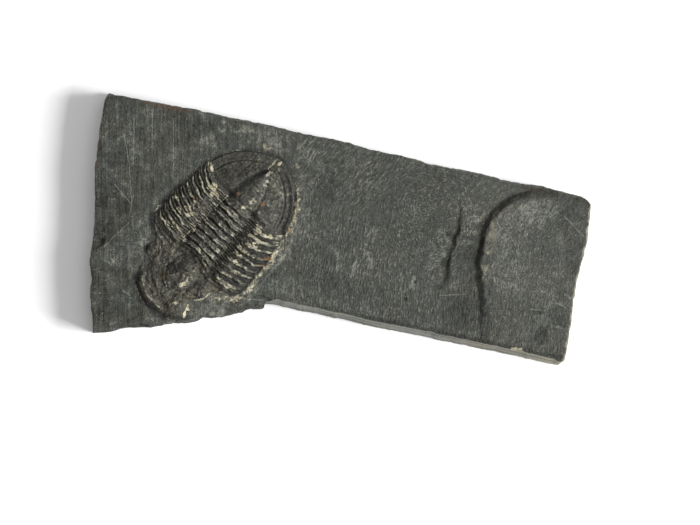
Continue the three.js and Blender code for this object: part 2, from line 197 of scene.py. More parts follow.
# A segment's relief from its front to its back: on the axis, then on the lobes near the axis,
# towards the right tips and towards the left tips
RELIEF_CURVES = [
    [(0, 0.0), (0.2, 0.15), (0.34, 0.5), (0.5, 1.0), (0.64, 0.6), (0.8, 0.7), (1, 0.1)],
    [(0, 0.1), (0.12, 0.7), (0.22, 0.75), (0.32, 0.25), (0.42, 0.4), (0.52, 0.95),
     (0.62, 0.35), (0.74, 0.45), (0.84, 1.0), (1, 0.0)],
    [(0, 0.1), (0.12, 0.5), (0.26, 1.0), (0.42, 0.7), (0.54, 0.05), (0.64, 0.3),
     (0.74, 0.62), (0.84, 0.45), (1, 0.0)],
    [(0, 0.1), (0.12, 0.6), (0.26, 1.0), (0.42, 0.95), (0.54, 0.3), (0.66, 0.05),
     (0.78, 0.3), (0.88, 0.2), (1, 0.0)],
]

# Heights of the thorax above the bedding face, its right side pressed flat
RIM_HEIGHT = 0.15
AXIS_HEIGHT = 2.3
RIGHT_FURROW = 0.95
RIGHT_FULCRUM = 1.55
LEFT_FURROW = 0.55
LEFT_FULCRUM = 2.0
RIGHT_ARCH = 1.15
LEFT_ARCH = 0.65

# The tail, the head's edges, and the rim of matrix along the animal's left side
TAIL_CENTRE = (-0.75, 12.6)
TAIL_HALF_WIDTH = 12.75
TAIL_LENGTH = 12.2
TAIL_POWER = 1.65
TAIL_AXIS_FRONT = 9.4
TAIL_AXIS_LENGTH = 11.9
TAIL_AXIS_HALF_WIDTH = 3.9
TAIL_AXIS_POWER = 2.1
TAIL_BORDER = 2.2
TAIL_RING_START = 9.6
TAIL_RING_STEP = 1.75
TAIL_RIB_STEP = 2.6
HEAD_BACK = -8.0
HEAD_RIGHT = [
    (-1.2, -24.3), (-3.0, -23.8), (-5.0, -22.8), (-6.7, -21.5), (-7.4, -20.2),
    (-7.8, -17.6), (-8.4, -15.6), (-9.8, -14.6), (-10.2, -13.4), (-9.8, -12.0),
    (-10.2, -11.2), (-12.3, -9.7), (-14.0, -8.6), (-14.6, -8.0),
]
HEAD_LEFT = [
    (2.6, -24.3), (5.0, -23.6), (7.6, -22.2), (9.3, -20.6), (9.9, -19.8), (9.4, -18.2),
    (7.9, -15.8), (8.7, -14.6), (9.5, -13.2), (9.5, -12.0), (9.9, -11.2), (11.8, -9.7),
    (13.6, -8.6), (14.3, -8.0),
]
MATRIX_RIM = [
    (10.6, -10.4), (13.0, -9.0), (14.3, -7.0), (15.0, -4.5), (15.0, -2.5), (14.6, 0.0),
    (14.3, 3.0), (14.2, 5.0), (13.6, 6.5), (13.5, 8.0), (13.0, 11.2), (11.9, 14.2),
    (10.6, 17.4), (8.4, 20.8), (5.2, 23.4), (1.0, 24.8),
]
CHEEK_SEAM = [(10.2, -11.6), (12.4, -10.3), (14.8, -8.7), (16.8, -6.2), (19.0, -3.2)]

# The glabella, its furrows, and the eye lobes with their turn in degrees
GLABELLA = (0.9, -12.4)
GLABELLA_HALF_LENGTHS = (4.2, 5.4)
GLABELLA_FURROWS = (-10.9, -12.9, -14.8)
EYE_LOBES = [((-9.1, -13.5), -10), ((8.3, -13.0), 14)]

# Points along and across the grids of the head and the tail
HEAD_GRID = (150, 180)
TAIL_GRID = (110, 210)

# Sharp folds of the crushed head
HEAD_FOLDS = [
    [(-3.0, -14.75), (-1.5, -16.75), (0.5, -17.5)], [(-2.75, -18.25), (-1.0, -19.5)],
    [(-1.5, -15.5), (0.6, -12.9), (2.75, -10.0)], [(-7.6, -15.4), (-4.6, -15.0), (-3.4, -13.6)],
    [(-7.6, -11.6), (-6.4, -13.2), (-6.6, -15.0)], [(4.6, -16.0), (6.2, -15.6), (7.4, -14.4)],
]

# Spots of pale calcite on the animal: place, half length, half width and turn in degrees
LIME_SPOTS = [
    (-8.2, 7.6, 1.9, 1.1, -25), (-12.6, 11.6, 1.3, 0.8, -55), (-8.8, 1.6, 1.1, 0.5, -35),
    (-8.9, -0.2, 1.3, 0.75, -30), (-10.3, -2.3, 1.3, 0.5, -20), (-9.2, -5.8, 2.4, 0.4, 6),
    (-10.8, 4.6, 0.8, 0.35, -30), (6.4, 9.4, 1.2, 0.45, 15), (7.2, 8.2, 1.8, 0.85, 20),
    (9.6, 9.0, 1.4, 0.5, 30), (6.5, 6.2, 1.0, 0.5, 15), (9.0, 5.4, 1.2, 0.5, 25),
    (7.4, 4.0, 1.2, 0.4, 15), (6.6, 2.2, 0.8, 0.5, 0), (10.2, 2.6, 1.0, 0.35, 30),
    (8.8, -0.8, 1.2, 0.35, 15), (10.0, -3.2, 1.4, 0.3, 10), (10.4, -7.0, 2.2, 0.5, 12),
    (0.3, 10.0, 0.55, 0.5, 0), (3.3, -14.3, 0.9, 0.5, 60), (4.8, -18.9, 0.7, 0.5, 20),
    (0.5, -5.6, 1.6, 0.28, -28), (3.2, -6.7, 1.4, 0.25, -12), (-1.2, 24.0, 0.7, 0.4, 80),
    (-13.6, -0.4, 0.9, 0.5, 60), (-4.5, -2.6, 0.9, 0.3, -60), (7.0, -16.0, 0.9, 0.5, -40),
    (7.8, -17.7, 1.2, 0.45, -62), (8.6, -19.3, 0.9, 0.4, -62), (2.9, -13.2, 0.9, 0.5, 80),
    (5.6, -14.6, 0.6, 0.3, 0),
]

# Spots of rust on the animal, given in the same way
RUST_SPOTS = [
    (3.0, 14.0, 0.8, 0.6, 40), (12.4, 13.6, 0.7, 0.6, 0), (10.2, 17.6, 0.8, 0.4, -60),
    (13.5, 5.0, 0.9, 0.7, 20), (-3.0, 11.5, 0.5, 0.4, 0), (-9.8, 3.0, 1.0, 0.4, -30),
    (-2.2, -16.2, 1.4, 0.3, -50), (13.7, 2.6, 0.6, 0.5, 40),
]

# Patches of the plates and of the shale beside their right tips, given as those of the slab
# The dark ones are painted shade in the head's hollows and a painted shadow beside the eye lobe on
# the animal's right
HEAD_HOLLOWS = [
    (0.9, 5.4, -11.2, 0.9, 1.8, 12), (0.7, 1.8, -14.8, 1.0, 1.8, -30),
    (0.6, -4.6, -17.6, 2.0, 1.0, -30), (0.8, -0.5, -8.6, 3.6, 0.9, 0),
    (0.6, 4.2, -17.6, 1.6, 0.6, 25), (1.2, -9.4, -13.9, 0.9, 1.6, -15),
]
# The pale ones include a painted highlight on the glabella's flank towards the light
HEAD_PALE_AND_LIT = [
    (0.6, 2.8, -12.4, 1.6, 3.4, 10), (0.6, -11.0, -9.2, 3.4, 1.2, -28),
    (0.6, -3.8, -10.4, 1.6, 0.9, 10), (0.4, -7.0, -13.2, 1.2, 2.4, -10),
    (0.8, 4.6, -7.6, 1.4, 1.6, -30),
]
RIGHT_TIP_LIME = [
    (0.56, -14.9, 0.2, 0.5, 1.8, 0), (0.56, -14.9, -5.4, 0.5, 2.2, 0),
    (0.56, -14.8, 5.4, 0.5, 1.0, 0),
]

# Directions of the brush strokes in degrees, and the swirl that they make behind the terrace
STROKE_TURNS = (9, 42)
SWIRL_CENTRE = (24.0, 2.0)
SWIRL_RADIUS = 14.0

# Pale scratches and cracks of the bedding face: start, end and half width
SCRATCHES = [
    ((-53.8, 23.4), (-52.4, 15.5), 0.10), ((-52.4, 15.5), (-51.9, 6.2), 0.12),
    ((-51.9, 6.2), (-52.3, 3.0), 0.11), ((-51.3, 27.6), (-51.4, 15.9), 0.10),
    ((-46.6, 30.1), (-46.7, 22.4), 0.10), ((-44.4, 30.4), (-44.3, 22.9), 0.08),
    ((-41.5, 27.4), (-41.4, 14.6), 0.12), ((-56.1, 10.9), (-52.1, 6.2), 0.12),
    ((-58.7, -4.6), (-52.7, 1.4), 0.13), ((-29.0, -17.0), (-18.9, -17.9), 0.12),
    ((56.0, 2.9), (60.7, -1.9), 0.12), ((47.3, -20.1), (49.9, -20.4), 0.14),
    ((54.2, -18.6), (58.2, -20.8), 0.16), ((36.5, -5.2), (38.0, -3.9), 0.16),
    ((25.0, -16.7), (31.0, -16.4), 0.13), ((38.8, 2.8), (40.2, -0.3), 0.13),
    ((17.6, -14.8), (18.7, -12.2), 0.26), ((23.1, -12.6), (23.8, -10.7), 0.2),
    ((38.5, -12.1), (38.9, -13.6), 0.2), ((-58.5, -8.0), (-56.6, -9.4), 0.16),
    ((-57.0, -7.4), (-55.6, -8.6), 0.16), ((-54.0, -15.6), (-52.4, -16.6), 0.2),
]


# Numbers over the surfaces


def smoothstep(x, low=0.0, high=1.0):
    x = np.clip((x - low) / (high - low), 0, 1)
    return x * x * (3 - 2 * x)


def mix(a, b, share):
    return a + (b - a) * share


def noise(x, y, size, seed, layers=3):
    """Smooth random heights, mostly between -1 and 1, whose bumps are about size across."""
    table = np.random.default_rng(seed).uniform(-1, 1, (128, 128))
    total = np.zeros(np.shape(x))
    for layer in range(layers):
        u = np.asarray(x) * 2**layer / size + 31.7 * (layer + 1)
        v = np.asarray(y) * 2**layer / size + 17.3 * (layer + 1)
        i, j = np.floor(u).astype(int), np.floor(v).astype(int)
        fu, fv = smoothstep(u - i), smoothstep(v - j)
        low = mix(table[i % 128, j % 128], table[(i + 1) % 128, j % 128], fu)
        high = mix(table[i % 128, (j + 1) % 128], table[(i + 1) % 128, (j + 1) % 128], fu)
        total += mix(low, high, fv) * 0.5**layer
    return total


def smooth_line(points, count):
    """count places at even steps along a smooth curve through points."""
    p = np.array(points, float)
    p = np.vstack([2 * p[0] - p[1], p, 2 * p[-1] - p[-2]])
    t = np.linspace(0, 1, 12, endpoint=False)[:, None]
    pieces = []
    for a, b, c, d in zip(p[:-3], p[1:-2], p[2:-1], p[3:]):
        bend = (2 * a - 5 * b + 4 * c - d) * t**2 + (3 * b - a - 3 * c + d) * t**3
        pieces.append(0.5 * (2 * b + (c - a) * t + bend))
    curve = np.vstack([*pieces, p[-2:-1]])
    run = np.concatenate([[0], np.cumsum(np.hypot(*np.diff(curve, axis=0).T))])
    even = np.linspace(0, run[-1], count)
    return np.column_stack([np.interp(even, run, curve[:, k]) for k in (0, 1)])


def near_line(x, y, line):
    """How far each place is from a line, positive on its left, and how far along it, 0 to 1."""
    line = np.array(line, float)
    starts, steps = line[:-1], np.diff(line, axis=0)
    lengths = np.hypot(*steps.T)
    run = np.concatenate([[0], np.cumsum(lengths)])
    distance = np.full(np.shape(x), np.inf)
    clearest = np.zeros(np.shape(x))
    side = np.ones(np.shape(x))
    along = np.zeros(np.shape(x))
    for (ax, ay), (dx, dy), length, done in zip(starts, steps, lengths, run):
        dx, dy = dx / length, dy / length
        t = np.clip((x - ax) * dx + (y - ay) * dy, 0, length)
        gap = np.hypot(x - ax - t * dx, y - ay - t * dy)
        left = dx * (y - ay) - dy * (x - ax)
        equal = np.abs(gap - distance) < 1e-6
        nearer = (gap < distance - 1e-6) | (equal & (np.abs(left) > clearest))
        distance = np.where(nearer, gap, distance)
        clearest = np.where(nearer, np.abs(left), clearest)
        side = np.where(nearer, np.where(left < 0, -1, 1), side)
        along = np.where(nearer, (done + t) / run[-1], along)
    return distance * side, along


def near_curve(x, y, points, count):
    """The same for a smooth curve through points."""
    return near_line(x, y, smooth_line(points, count))


def bell(x, middle, width):
    """1 at middle, fading to both sides over about width."""
    return np.exp(-(((x - middle) / width) ** 2))


def dome(x, y, at, half_x, half_y, turn=0.0):
    """A round hump, 1 in its middle and 0 at its rim."""
    c, s = math.cos(math.radians(turn)), math.sin(math.radians(turn))
    u = ((x - at[0]) * c + (y - at[1]) * s) / half_x
    v = ((y - at[1]) * c - (x - at[0]) * s) / half_y
    return np.sqrt(np.clip(1 - u * u - v * v, 0, 1))


def ragged_dome(x, y, at, half_x, half_y, turn=0.0):
    """A hump whose outline wanders."""
    wander = 0.5 * min(half_x, 2 * half_y)
    wander_x = wander * noise(x, y, 1.1, 42, 4)
    wander_y = wander * noise(x, y, 1.1, 43, 4)
    return dome(x + wander_x, y + wander_y, at, half_x, half_y, turn)


def strongest(*values):
    return np.maximum.reduce(values)


def patches(x, y, rows, hump=dome):
    """The strongest of several humps of different strength."""
    humps = [
        strength * hump(x, y, (at_x, at_y), half_x, half_y, turn)
        for strength, at_x, at_y, half_x, half_y, turn in rows
    ]
    return strongest(*humps)


def spots(u, v, rows):
    """Ragged humps of full strength."""
    return patches(u, v, [(1.0, *row) for row in rows], ragged_dome)


def inside(x, y, corners, soft):
    """1 inside an outline and 0 outside it, with an edge soft millimetres wide."""
    outline = np.array([*corners, corners[0]], float)
    gap, _ = near_line(x, y, outline)
    turns = outline[:-1, 0] * outline[1:, 1] - outline[1:, 0] * outline[:-1, 1]
    gap = gap * np.sign(turns.sum()) + 0.35 * noise(x, y, 1.8, 41, 4)
    return smoothstep(gap, 0, soft)


def scar(x, y, at, half_x, half_y, turn, depth):
    """The shallow hollow of a lost flake, steep at its rim."""
    wobble = 1 + 0.25 * noise(x, y, 1.6, 40)
    return -depth * smoothstep(dome(x, y, at, half_x * wobble, half_y * wobble, turn), 0.1, 0.75)


# The animal's frame


def to_body(x, y):
    c, s = math.cos(BODY_TURN), math.sin(BODY_TURN)
    dx, dy = x - BODY_PLACE[0], y - BODY_PLACE[1]
    return dx * c + dy * s, dy * c - dx * s


def from_body(u, v):
    c, s = math.cos(BODY_TURN), math.sin(BODY_TURN)
    return BODY_PLACE[0] + u * c - v * s, BODY_PLACE[1] + u * s + v * c


def axis_x(v):
    return AXIS_START - AXIS_DRIFT * v


def axis_half_width(v):
    return AXIS_HALF_WIDTH - AXIS_NARROWING * v


def body_half_width(v):
    return BODY_HALF_WIDTH - BODY_NARROWING * (v + 2) ** 2


def outer_share(u, v):
    """0 at the fulcrum of the side lobes and 1 at their tips."""
    half = body_half_width(v)
    return np.clip((np.abs(u - axis_x(v)) - FULCRUM) / (half - FULCRUM), 0, 1)


def joint_v(k, u):
    """Where the joint before segment k crosses the line at u."""
    v = mix(THORAX_FRONT, THORAX_BACK, k / SEGMENTS)
    sweep = (SWEEP + SWEEP_GAIN * k / SEGMENTS) * outer_share(u, v) ** 1.5
    bow = BOW / (1 + k * k) * np.clip(1 - ((u - axis_x(v)) / BOW_HALF_WIDTH) ** 2, 0, 1)
    return v + sweep + bow


def body_height(u, v):
    """The thorax's smooth cross-section above the bedding face."""
    across = u - axis_x(v)
    left = smoothstep(across, -1, 1)
    furrow, fulcrum = mix(RIGHT_FURROW, LEFT_FURROW, left), mix(RIGHT_FULCRUM, LEFT_FULCRUM, left)
    half = axis_half_width(v)
    arch = np.clip(1 - (across / half) ** 2, 0, 1) ** mix(RIGHT_ARCH, LEFT_ARCH, left)
    across = np.abs(across)
    lobe = mix(furrow, fulcrum, smoothstep(across, half, FULCRUM))
    lobe = lobe - (fulcrum - RIM_HEIGHT) * outer_share(u, v) ** 1.5
    return np.where(across < half, mix(furrow, AXIS_HEIGHT, arch), lobe)


def tail_edge_v(u):
    s = np.clip(np.abs(u - TAIL_CENTRE[0]) / TAIL_HALF_WIDTH, 0, 1)
    return TAIL_CENTRE[1] + TAIL_LENGTH * (1 - s**TAIL_POWER) ** (1 / TAIL_POWER)


def head_front_gap(u, v):
    """How far each place is from the front edge of the head."""
    return np.abs(near_curve(u, v, [*HEAD_RIGHT[4::-1], *HEAD_LEFT[:5]], 60)[0])


def tail_crack_gap(u, v, wander):
    """How far each place is from the crack at the end of the tail's axis."""
    return np.abs(u - axis_x(v) + 0.9 - 0.06 * (v - 21) + wander * noise(u, v, 1.2, 62))


def animal_outline():
    """The whole animal's edge, running with the animal on its left."""
    head_right = smooth_line(HEAD_RIGHT, 60)
    head_left = smooth_line(HEAD_LEFT, 60)
    v = np.linspace(THORAX_FRONT + 1.3, THORAX_BACK + 3.0, 20)
    half = body_half_width(np.minimum(v, THORAX_BACK))
    left_tips = np.column_stack([axis_x(v) + half, v])
    right_tips = np.column_stack([axis_x(v) - half, v])
    u = TAIL_CENTRE[0] + 0.99 * TAIL_HALF_WIDTH * np.cos(np.linspace(0, math.pi, 60))
    tail = np.column_stack([u, tail_edge_v(u)])
    parts = [head_left, left_tips, tail, right_tips[::-1], head_right[::-1]]
    ring = np.vstack(parts)
    return np.vstack([ring, ring[:1]])


OUTLINE = animal_outline()


# Making meshes


def rows_of_quads(rows, columns, closed=False):
    """Corner numbers of the quads of a grid, wrapping round its columns when closed."""
    r, c = np.meshgrid(
        np.arange(rows - 1), np.arange(columns if closed else columns - 1), indexing="ij"
    )
    right = (c + 1) % columns
    quads = [r * columns + c, r * columns + right, (r + 1) * columns + right, (r + 1) * columns + c]
    return np.stack(quads, axis=-1).reshape(-1, 4)


def add_object(name, data):
    thing = bpy.data.objects.new(name, data)
    bpy.context.scene.collection.objects.link(thing)
    return thing


def add_piece(name, points, faces, sharp_degrees):
    """A mesh object from points in millimetres, shaded smooth but for its sharp edges."""
    mesh = bpy.data.meshes.new(name)
    mesh.from_pydata((np.asarray(points) * MM).tolist(), [], faces)
    smooth_shade(mesh, sharp_degrees)
    return add_object(name, mesh)


def smooth_shade(mesh, sharp_degrees):
    mesh.polygons.foreach_set("use_smooth", [True] * len(mesh.polygons))
    mesh.set_sharp_from_angle(angle=math.radians(sharp_degrees))
    mesh.update()


def store(piece, name, values):
    """Keeps one number for each point of a piece, for its material to read."""
    attribute = piece.data.attributes.new(name, "FLOAT", "POINT")
    attribute.data.foreach_set("value", np.clip(np.asarray(values, np.float32), 0, 1))


def places_of(piece):
    """A piece's points in millimetres."""
    points = np.empty(len(piece.data.vertices) * 3, np.float32)
    piece.data.vertices.foreach_get("co", points)
    return points.reshape(-1, 3).T.astype(float) / MM


# The slab


def terrace_height(x, y, z):
    """The face z with the terrace's ledge, the bowl before it and the ripples behind it."""
    across, along = near_curve(x, y, TERRACE_LEDGE, 60)
    across = across + 0.35 * noise(x, y, 2.0, 4, 4)
    middle = np.sin(math.pi * np.clip(along, 0, 1)) ** 0.8
    middle = middle * (0.9 + 0.3 * noise(x * 0.3, y, 2.6, 15, 2))
    bowl = -TERRACE_DEPTH * np.exp(-np.clip(-across, 0, None) / 2.8)
    riser = smoothstep((across + 0.3) / mix(0.75, 1.9, smoothstep(along, 0.5, 0.85)))
    back = TERRACE_DEPTH * np.exp(-np.clip(across, 0, None) / 4.5)
    z += middle * mix(bowl, back, riser)
    lumpy = bell(across, -2.4, 1.8) * smoothstep(along, 0.25, 0.45)
    lumpy = lumpy * smoothstep(1 - along, 0, 0.25)
    z += 0.45 * lumpy * noise(x, y, 2.6, 18, 3)
    ripples = bell(x, 32.5, 4.5) * bell(y, 0.5, 9.0)
    return z + 0.1 * ripples * noise(x * 0.4, y, 1.7, 16, 2)


def block_height(x, y, z):
    """The face z with the raised end block and the foot of its ledge."""
    across, along = near_curve(x, y, BLOCK_LEDGE, 90)
    across = across + 0.35 * noise(x, y, 2.6, 5) + 0.16 * noise(x, y, 0.9, 6)
    width = np.interp(along, BLOCK_LEDGE_SHARES, BLOCK_LEDGE_WIDTHS)
    rise = np.clip((across + 0.2) / width, 0, 1)
    foot = -0.22 * bell(across, -0.1, 0.7) * smoothstep(1 - along, 0.0, 0.3)
    ramp = 0.55 * smoothstep(along, 0.6, 1.0) * np.exp(-np.clip(-across, 0, None) / 6)
    block = BLOCK - 0.1 + 0.08 * noise(x, y, 12, 7) + 0.04 * noise(x, y, 2.6, 8)
    torn = np.exp(-(((across - width - 0.6) / 0.9) ** 2)) * smoothstep(along, 0.3, 0.4)
    block += 0.28 * torn * noise(x, y, 1.3, 14)
    return mix(z + foot + ramp, block, rise ** 0.8)


def brushed_arcs(x, y, strength, width):
    """How strongly each of the brushed arcs marks each place."""
    for arc in BRUSHED_ARCS:
        across, along = near_curve(x, y, arc, 30)
        yield strength * bell(across, 0, width) * np.sin(math.pi * along)


def broken_edge(x, y):
    """How far each place is from the broken lower edge, and where that edge is chipped."""
    gap = np.abs(near_curve(x, y, BROKEN_LOWER, 50)[0])
    return gap, smoothstep(x, -45, -41) * smoothstep(-x, 26, 29)


def marked_height(x, y, z):
    """The face z with its lost layers, bumps, scars, pits and brushed arcs."""
    for corners, depth, soft, _ in LOST_LAYERS:
        z -= depth * inside(x, y, corners, soft)
    for at, half_x, half_y in PALE_RINGS:
        z += 0.12 * dome(x, y, at, half_x, half_y) ** 0.5
    for at, half_x, half_y, turn, depth in SCARS:
        z += scar(x, y, at, half_x, half_y, turn, depth)
    gap, chipped = broken_edge(x, y)
    z -= 0.5 * chipped * smoothstep(1.3 + 0.6 * noise(x, y, 2.2, 17) - gap, 0, 1.2)
    for at, size in SMALL_SCARS:
        z += scar(x, y, at, size * 1.5, size, 30, 0.12)
    for at, size in PITS:
        z += scar(x, y, at, size, size, 0, 0.3)
    for arc in brushed_arcs(x, y, 0.12, 0.6):
        z += arc
    return z


def height_round_animal(x, y, z):
    """The face z with the moat round the animal and the rim of matrix on its left."""
    u, v = to_body(x, y)
    outside = -near_line(u, v, OUTLINE)[0]
    moat = bell(outside, 0.15, 0.38)
    z -= 0.14 * moat * (0.6 + 0.6 * noise(x, y, 3, 10)) * smoothstep(-u, -11, -7)
    z += 0.1 * bell(outside, 1.6, 1.0) * (outside > 0)
    across, along = near_curve(u, v, MATRIX_RIM, 80)
    thick = smoothstep(along, 0.05, 0.2) * smoothstep(0.62 - along, 0, 0.15)
    width = 0.3 + 0.2 * thick + 0.18 * noise(x, y, 1.6, 11)
    ends = smoothstep(along, 0, 0.1) * smoothstep(1 - along, 0, 0.25)
    ridge = bell(across, 0, width) * ends
    z += ridge * (0.3 + 0.25 * noise(x, y, 1.1, 12, 4))
    step = smoothstep(across + 0.5 * noise(x, y, 3, 13), -2.5, -2.1)
    return z + 0.22 * step * smoothstep(-across, -0.4, 0.4) * ends


def bedding_height(x, y):
    """Height of the slab's upper face."""
    z = BED + 0.12 * noise(x, y, 22, 1) + 0.06 * noise(x, y, 4.5, 2) + 0.03 * noise(x, y, 1.4, 3)
    for shape in (terrace_height, block_height, marked_height, height_round_animal):
        z = shape(x, y, z)
    return z


def side_curve(points, count, seed):
    """A side of the slab at even steps, a little ragged between its corners."""
    line = smooth_line(points, count + 1)
    run = np.linspace(0, 1, count + 1)
    along = np.gradient(line, axis=0)
    along /= np.hypot(*along.T)[:, None]
    inwards = np.column_stack([-along[:, 1], along[:, 0]])
    length = np.hypot(*np.diff(line, axis=0).T).sum()
    ragged = 0.5 + 0.5 * noise(run * length, run * 0, 1.3, seed, 4)
    ends = np.minimum(1, 12 * np.minimum(run, 1 - run))
    return line + inwards * (0.28 * ragged * ends)[:, None]


def rounded(values):
    """Values around a ring, each averaged with its neighbours."""
    wrapped = np.concatenate([values[-4:], values, values[:4]])
    return np.convolve(wrapped, np.ones(9) / 9, "valid")


def slab_points():
    """The slab's wall as rings of points from its foot to its rim, and where it is sawn."""
    lower = np.vstack([smooth_line(BROKEN_LOWER, 60), smooth_line(SAWN_LOWER, 100)])
    sides = [
        side_curve(lower, LONG_CELLS, 20),
        side_curve(RIGHT_SIDE, SHORT_CELLS, 21),
        side_curve(UPPER_SIDE, LONG_CELLS, 22),
        side_curve(LEFT_SIDE, SHORT_CELLS, 23),
    ]
    foot = np.vstack([side[:-1] for side in sides])
    sawn = smoothstep(sides[0][:-1, 0], *SAWN_FROM)
    leans = np.concatenate([
        mix(BROKEN_LEAN, SAWN_LEAN, sawn),
        np.full(SHORT_CELLS, RIGHT_LEAN),
        np.full(LONG_CELLS + SHORT_CELLS, SPLIT_LEAN),
    ])
    sawn = np.concatenate([sawn, np.zeros(len(foot) - len(sawn))])
    leans, sawn = rounded(leans), rounded(sawn)
    along = np.roll(foot, -3, axis=0) - np.roll(foot, 3, axis=0)
    along = np.column_stack([rounded(along[:, 0]), rounded(along[:, 1])])
    along /= np.hypot(*along.T)[:, None]
    inwards = np.column_stack([-along[:, 1], along[:, 0]])
    run = np.concatenate([[0], np.cumsum(np.hypot(*np.diff(foot, axis=0).T))])

    rings = []
    rim_height = bedding_height(*(foot + inwards * leans[:, None]).T) - 0.12
    for level in np.linspace(0, 1, WALL_CELLS + 1):
        z = level * rim_height
        back = np.interp(z, WALL_HEIGHTS, WALL_SHARES) * leans
        layers = noise(z * 6 + run * 0.05, run * 0.12, 2.2, 24, 2)
        chips = np.clip(noise(run, z * 1.6, 3.2, 25, 4) - 0.2, 0, 1)
        split = 0.16 + 0.16 * layers + 0.55 * chips
        saw = 0.05 + 0.03 * noise(run * 3, z * 0.4, 1.0, 26, 2) + 0.12 * np.clip(chips - 0.2, 0, 1)
        back = back + mix(split, saw, sawn) + 0.25 * np.clip(1 - z / 0.5, 0, 1) ** 2
        back = np.clip(back, 0.02, None)
        rings.append(np.column_stack([foot + inwards * back[:, None], z]))
    return np.array(rings), sawn


def fill_from_sides(ring):
    """Places inside a ring of four sides, which keep the sides' own spacing."""
    a, b = LONG_CELLS, SHORT_CELLS
    lower, right = ring[: a + 1], ring[a : a + b + 1]
    upper = ring[a + b : 2 * a + b + 1][::-1]
    left = np.vstack([ring[2 * a + b :], ring[:1]])[::-1]
    s = np.linspace(0, 1, a + 1)[None, :, None]
    t = np.linspace(0, 1, b + 1)[:, None, None]
    across = (1 - t) * lower[None] + t * upper[None]
    up = (1 - s) * left[:, None] + s * right[:, None]
    first, last = ((1 - t) * lower[k] + t * upper[k] for k in (0, -1))
    corners = (1 - s) * first + s * last
    return across + up - corners


def underside_faces(ring):
    """The face across the foot of the wall: its inner points and its triangles."""
    x, y = np.meshgrid(np.arange(-62, 63, UNDER_STEP), np.arange(-33, 34, UNDER_STEP))
    x, y = x.ravel() + 0.4 * noise(x, y, 3, 27).ravel(), y.ravel()
    gap, _ = near_line(x, y, np.vstack([ring, ring[:1]])[::3])
    inner = np.column_stack([x, y])[gap > 1.2]
    places = [Vector(p) for p in np.vstack([ring, inner])]
    count = len(ring)
    edges = [(i, (i + 1) % count) for i in range(count)]
    _, _, faces, originals, _, _ = geometry.delaunay_2d_cdt(places, edges, [], 1, 1e-7)
    numbers = [found[0] for found in originals]
    return inner, [tuple(numbers[i] for i in reversed(face)) for face in faces]


def make_slab():
    """The slab as one closed mesh: its wall, its upper face and its underside."""
    rings, sawn = slab_points()
    count = rings.shape[1]
    top = fill_from_sides(rings[-1][:, :2])
    x, y = top[..., 0], top[..., 1]
    z = bedding_height(x, y)
    edge = np.vstack([rings[-1][:, :2], rings[-1][:1, :2]])
    edge_gap = np.abs(near_line(x, y, edge[::2])[0])
    sawn_gap = np.abs(near_curve(x, y, SAWN_LOWER, 30)[0])
    wear = 0.12 + 0.1 * noise(x, y, 2.0, 28)
    z -= np.clip(wear, 0.04, None) * np.exp(-edge_gap / 0.35)
    z -= 0.4 * bell(np.clip(sawn_gap - SAWN_LEAN, 0, None), 0, 0.9)
    rim = rim_of(*z.shape)
    rings[:, :, 2] *= (z[rim] / rings[-1][:, 2])[None, :]

    wall = rings.reshape(-1, 3)
    rows, columns = top.shape[:2]
    number = np.full((rows, columns), -1)
    number[rim] = WALL_CELLS * count + np.arange(count)
    inner = number < 0
    number[inner] = len(wall) + np.arange(inner.sum())
    face = np.column_stack([x[inner], y[inner], z[inner]])
    quads = number.ravel()[rows_of_quads(rows, columns)]
    under, under_faces = underside_faces(rings[0][:, :2])
    shift = len(wall) + len(face) - count
    under_faces = [tuple(i if i < count else i + shift for i in f) for f in under_faces]
    under_z = np.clip(0.12 + 0.2 * noise(*under.T, 7, 29, 4), 0, 0.5)
    points = np.vstack([wall, face, np.column_stack([under, under_z])])
    faces = [*rows_of_quads(WALL_CELLS + 1, count, True).tolist(), *quads.tolist(), *under_faces]
    slab = add_piece("slab_shale", points, faces, 40)
    paint_slab(slab, sawn, count)
    return slab


def rim_of(rows, columns):
    """Row and column numbers of a grid's rim, anticlockwise from its first corner."""
    a, b = columns - 1, rows - 1
    row = [*[0] * a, *range(b), *[b] * a, *range(b, 0, -1)]
    column = [*range(a), *[a] * b, *range(a, 0, -1), *[0] * b]
    return np.array(row), np.array(column)


def slab_dust(x, y, ragged, upper_gap, block):
    """Pale powder on two broken edges and on the flakes beside the block's ledge."""
    right_gap = np.abs(near_curve(x, y, RIGHT_SIDE, 40)[0])
    beside = bell(block[0], 1.8, 1.0) * smoothstep(block[1], 0.3, 0.4)
    flakes = beside * smoothstep(noise(x, y * 0.6, 1.1, 55, 3), 0.0, 0.5) * smoothstep(y, -14, -9)
    return strongest(
        smoothstep(0.95 + 0.5 * ragged - right_gap, 0, 0.5),
        0.35 * smoothstep(0.5 + 0.5 * ragged - upper_gap, 0, 0.4),
        0.62 * flakes,
    )


def slab_rust(x, y, body, outside, ragged, upper_gap, speckles):
    """Rust along the left and upper edges, at the block and beside the animal."""
    left_gap = np.abs(near_curve(x, y, LEFT_SIDE, 40)[0])
    strip = smoothstep(1.0 - np.abs(x + 43.5) / 8.5, 0, 0.5)
    return strongest(
        0.9 * smoothstep(0.75 + 0.4 * ragged - left_gap, 0, 0.4),
        strip * smoothstep(1.5 + 0.8 * ragged - upper_gap, 0, 0.5),
        0.4 * dome(x, y, (49.5, 10.0), 6.0, 1.8, -14),
        0.35 * speckles * dome(x, y, (-18.8, 21.2), 2.4, 1.68, -40),
        0.35 * speckles * dome(x, y, (-11.0, 15.4), 1.4, 0.98, -40),
        1.6 * spots(*body, RUST_SPOTS) * (outside > 0) * (body[0] > 9),
    )


